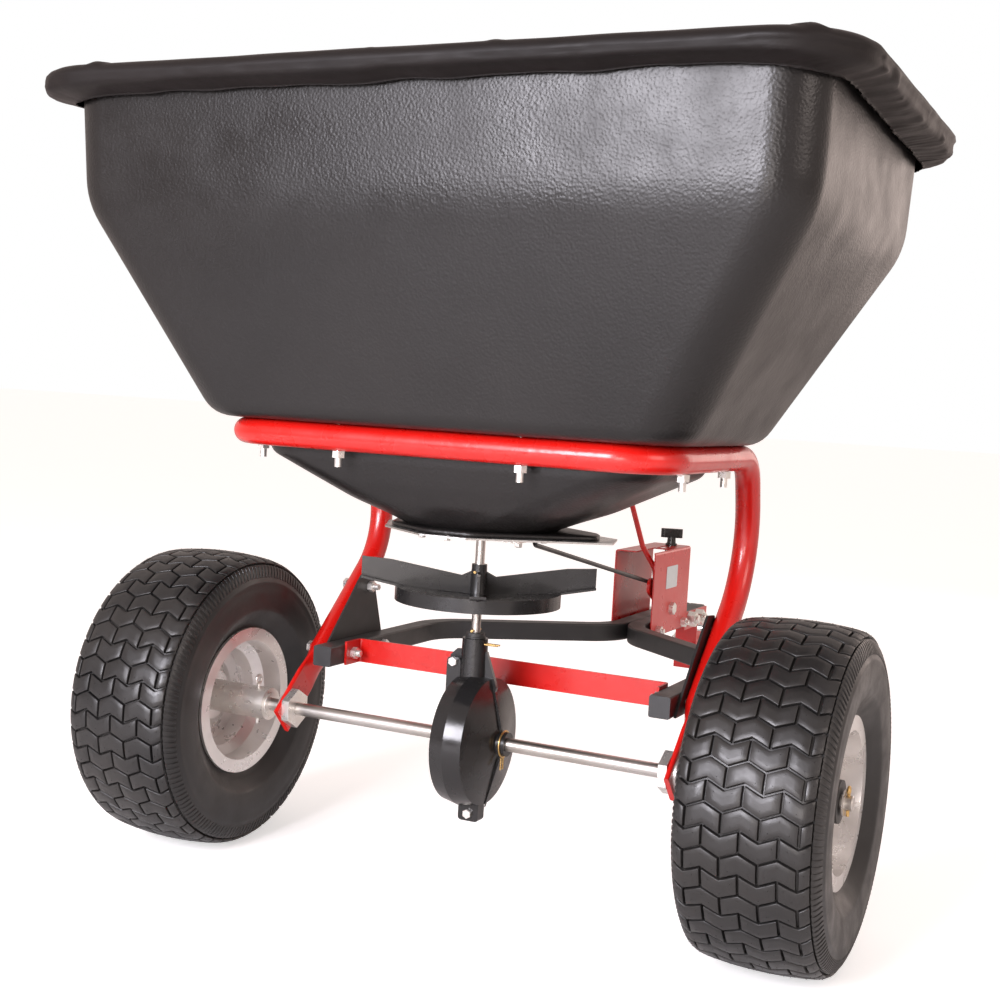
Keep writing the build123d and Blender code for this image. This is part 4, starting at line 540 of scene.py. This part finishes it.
# the side, from the hem up to the turn of the rim
points, faces, rows = [], [], []
for part, w in side_levels:
    row = []
    for k, (spot, out) in enumerate(fine_loop(w, w - SIDE_FLAT_D, w - SIDE_CORNER)):
        right = max(0.0, min(1.0, (spot.x - RIGHT_FROM) / RIGHT_OVER))
        right = right * right * (3 - 2 * right)
        front = max(0.0, min(1.0, (spot.y + 200) / 380))
        corner_pull = abs(out.x * out.y) * 2
        droop = right * (4 + 10 * front) + 3 * corner_pull
        droop += 3.0 * ripple(spot.x / 60, spot.y / 60, 3.0)
        hem = HEM_Z + spot.x / 200 - droop
        loose = max(right, 0.55 * corner_pull, 0.12)
        mark = k / SPAN * PLEATS + 3.2 * ripple(k / 31, 0.5, 7.0)
        pleat = math.sin(mark * math.tau) * (0.65 + 0.6 * ripple(k / 9, 2.0, 1.0))
        gather = max(0.0, 1 - abs(part - PLEAT_HEIGHT) / PLEAT_OVER)
        wide = ripple(spot.x / 24, spot.y / 24, part * 2.2) * (0.4 + part) * 4.5
        push = loose * (pleat * 2.6 * gather + wide * (1 - abs(2 * part - 1) ** 2) * 1.5)
        push += loose * math.sin(mark * math.tau / 3.0) * 1.4 * max(0.0, 0.75 - abs(part - 0.4))
        hollow = math.sin(math.pi * min(1.0, max(0.0, (part - 0.3) / 0.7)))
        push += -loose * 9 * hollow * (0.5 + ripple(k / 26, 9.0, 4.0))
        push = min(push, OUTMOST - w) if part > 0.5 else push
        push = max(push, -1.0 if part < 0.3 else -1.8)
        z = hem + (TURN_Z - hem) * part
        z += loose * 1.6 * ripple(k / 7, part * 4, 8.0)
        row.append(len(points))
        points.append(((spot.x + out.x * push) / 1000, AXLE.y + (spot.y + out.y * push) / 1000, z / 1000))
    rows.append(row + row[:1])

# the top, from the turn in to the middle, with small lumps where it goes over the rim
for step, (w, d, r, z) in enumerate(top_stations):
    row = []
    for k, (spot, out) in enumerate(fine_loop(w, d, r)):
        fold = ripple(k / 15, step * 0.35, 2.0) * 1.5 + ripple(spot.x / 70, spot.y / 50, 5.0) * 3.2
        edge = math.exp(-((step - LIP_STEP) / 2.0) ** 2)
        lump = max(0.0, ripple(k / 11, 4.0, 6.0) - 0.32) * 9 * edge
        height = min(z + fold * (0.4 + 0.6 * (step > 3)) * (1 - edge * 0.6) + lump, TOP_Z)
        row.append(len(points))
        points.append((spot.x / 1000, AXLE.y + spot.y / 1000, height / 1000))
    rows.append(row + row[:1])
band(faces, rows)
faces.append(tuple(rows[-1][:-1]))
cover = solid("nylon_cover", points, faces, nylon)
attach(cover, "chassis")
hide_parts("rain_cover")


# ---------------------------------------------------------------- frame
# Mild steel tube, strap and sheet, cut, bent and bolted together, in a bright red gloss powder coat
# with a slight orange peel and a slow drift of tone.
def dress(material, *nodes):
    """Gives CAD nodes their finish."""
    for node in nodes:
        piece = frame["nodes"][node]
        piece.data.materials.clear()
        piece.data.materials.append(material)
        for slot in piece.material_slots:
            slot.material = material


red, tree, main, where = shader("red_powder_coat")
colour(tree, main, patches(tree, where, 5.0), (0.46, 0.005, 0.003), (0.56, 0.008, 0.005))
dullness(tree, main, grain(tree, where, 26.0), 0.24, 0.36)
main.inputs["Coat Weight"].default_value = 0.3
main.inputs["Coat Roughness"].default_value = 0.08
relief(tree, grain(tree, where, 160.0, 2.0), main, 0.06, 0.0002)
dress(red, "frame_tube", "cross_strap", "lever_box", "hitch_bracket", "hitch_yoke", "flow_lever")

# The drawbar, its gussets and the link rod are steel in satin black, bolted to the red frame.
black, tree, main, where = shader("black_powder_coat")
colour(tree, main, grain(tree, where, 8.0), (0.012, 0.012, 0.0125), (0.024, 0.0235, 0.023))
dullness(tree, main, grain(tree, where, 30.0), 0.34, 0.5)
relief(tree, grain(tree, where, 420.0, 2.0), main, 0.2, 0.0004)
dress(black, "drawbar_left", "drawbar_right", "gusset_left", "gusset_right", "link_rod")

# Polyethylene caps, pushed into the ends of the tube and a little greyer than it.
cap, tree, main, where = shader("cap_plastic")
colour(tree, main, grain(tree, where, 40.0), (0.016, 0.016, 0.017), (0.03, 0.03, 0.031))
dullness(tree, main, grain(tree, where, 60.0), 0.4, 0.55)
relief(tree, grain(tree, where, 700.0), main, 0.2, 0.0003)
dress(cap, "tube_caps")

# ---------------------------------------------------------------- bright steel
# Zinc-plated bolts, hubs, guides and washers: cold-formed or turned steel, pale and slightly yellow
# in patches from the plating.
zinc, tree, main, where = shader("zinc_plate")
colour(tree, main, patches(tree, where, 45.0), (0.72, 0.71, 0.69), (0.84, 0.81, 0.76))
dullness(tree, main, grain(tree, where, 120.0), 0.24, 0.4)
main.inputs["Metallic"].default_value = 0.85
dress(
    zinc, "hub_left", "hub_right", "wheel_pin", "axle_washers", "housing_screws", "frame_bolts",
    "frame_nuts", "hopper_bolts", "hopper_nuts", "base_screws", "gate_guides", "guide_screws",
    "box_spacers", "box_bolts", "rate_stop", "hitch_bolts", "hitch_nuts", "axle_bushings",
)

# The axle, the upright shaft, the gear's pin and the pinion are of drawn bar, with marks along their
# length and a warm tarnish.
bar, tree, main, where = shader("drawn_bar")
colour(tree, main, patches(tree, where, 14.0, 4.0, 0.6), (0.5, 0.47, 0.43), (0.64, 0.62, 0.6))
dullness(tree, main, grain(tree, where, 60.0, 3.0, 0.5, (0.05, 1, 1)), 0.22, 0.42)
main.inputs["Metallic"].default_value = 1.0
relief(tree, grain(tree, where, 500.0, 2.0, 0.5, (0.04, 1, 1)), main, 0.25, 0.0003)
dress(bar, "axle_shaft", "impeller_shaft", "gear_pin", "pinion_gear")

# The base plate, the gate and the agitator are of rolled stainless steel, with fine rolling marks.
sheet_steel, tree, main, where = shader("stainless_sheet")
colour(tree, main, grain(tree, where, 20.0), (0.58, 0.575, 0.56), (0.68, 0.675, 0.66))
dullness(tree, main, grain(tree, where, 200.0, 2.0, 0.5, (1, 0.03, 1)), 0.22, 0.38)
main.inputs["Metallic"].default_value = 1.0
relief(tree, grain(tree, where, 900.0, 2.0, 0.5, (1, 0.03, 1)), main, 0.2, 0.0002)
dress(sheet_steel, "base_plate", "shutoff_gate", "agitator")

# The cotters, the clips and the impeller's pins are of brass wire, bent to shape.
brass, tree, main, where = shader("brass_wire")
colour(tree, main, grain(tree, where, 90.0), (0.55, 0.34, 0.12), (0.72, 0.5, 0.21))
dullness(tree, main, grain(tree, where, 200.0), 0.22, 0.4)
main.inputs["Metallic"].default_value = 1.0
dress(brass, "housing_clips", "axle_cotters", "impeller_pins")

# ---------------------------------------------------------------- rims and valves
# Pressed steel rims in faintly mottled silver paint, each on its hub. A black rubber valve stem is
# pulled through each rim, and the lever's grip is of the same rubber.
silver, tree, main, where = shader("silver_paint")
colour(tree, main, patches(tree, where, 12.0), (0.72, 0.7, 0.69), (0.86, 0.84, 0.82))
dullness(tree, main, grain(tree, where, 34.0), 0.24, 0.36)
main.inputs["Metallic"].default_value = 0.7
dress(silver, "rim_left", "rim_right")

valve, tree, main, where = shader("valve_rubber")
colour(tree, main, grain(tree, where, 100.0), (0.014, 0.014, 0.014), (0.03, 0.03, 0.03))
main.inputs["Roughness"].default_value = 0.6
relief(tree, grain(tree, where, 500.0), main, 0.2, 0.0003)
dress(valve, "valve_left", "valve_right", "lever_grip")

# ---------------------------------------------------------------- gearbox and impeller
# The gearbox's two halves, screwed and clipped together, the impeller and the knob are injection
# moulded in glass-filled nylon: deep gloss black with faint flow marks.
moulded, tree, main, where = shader("moulded_nylon")
colour(tree, main, grain(tree, where, 12.0), (0.0085, 0.0085, 0.009), (0.016, 0.0155, 0.0155))
dullness(tree, main, grain(tree, where, 22.0, 5.0), 0.16, 0.34)
relief(tree, grain(tree, where, 260.0), main, 0.1, 0.0004)
relief(tree, grain(tree, where, 28.0), main, 0.12, 0.0016)
dress(moulded, "housing_front", "housing_rear", "impeller", "t_knob")

# The ring gear, the bushings and the thrust washers are of duller nylon, turned or moulded.
nylon_dull, tree, main, where = shader("turned_nylon")
colour(tree, main, grain(tree, where, 30.0), (0.02, 0.02, 0.02), (0.045, 0.044, 0.043))
dullness(tree, main, grain(tree, where, 90.0), 0.4, 0.6)
relief(tree, grain(tree, where, 600.0, 2.0, 0.5, (0.1, 1, 1)), main, 0.2, 0.0003)
dress(nylon_dull, "ring_gear", "wheel_bushings", "thrust_washers", "shaft_bushing")

# ---------------------------------------------------------------- scale plate
# A thin plate on the lever's box. It is left blank: pale satin, mottled, with nothing written on it.
plate, tree, main, where = shader("blank_plate")
colour(tree, main, grain(tree, where, 70.0), (0.5, 0.55, 0.58), (0.62, 0.66, 0.68))
dullness(tree, main, grain(tree, where, 150.0), 0.3, 0.45)
relief(tree, grain(tree, where, 500.0), main, 0.1, 0.0002)
dress(plate, "scale_plate")
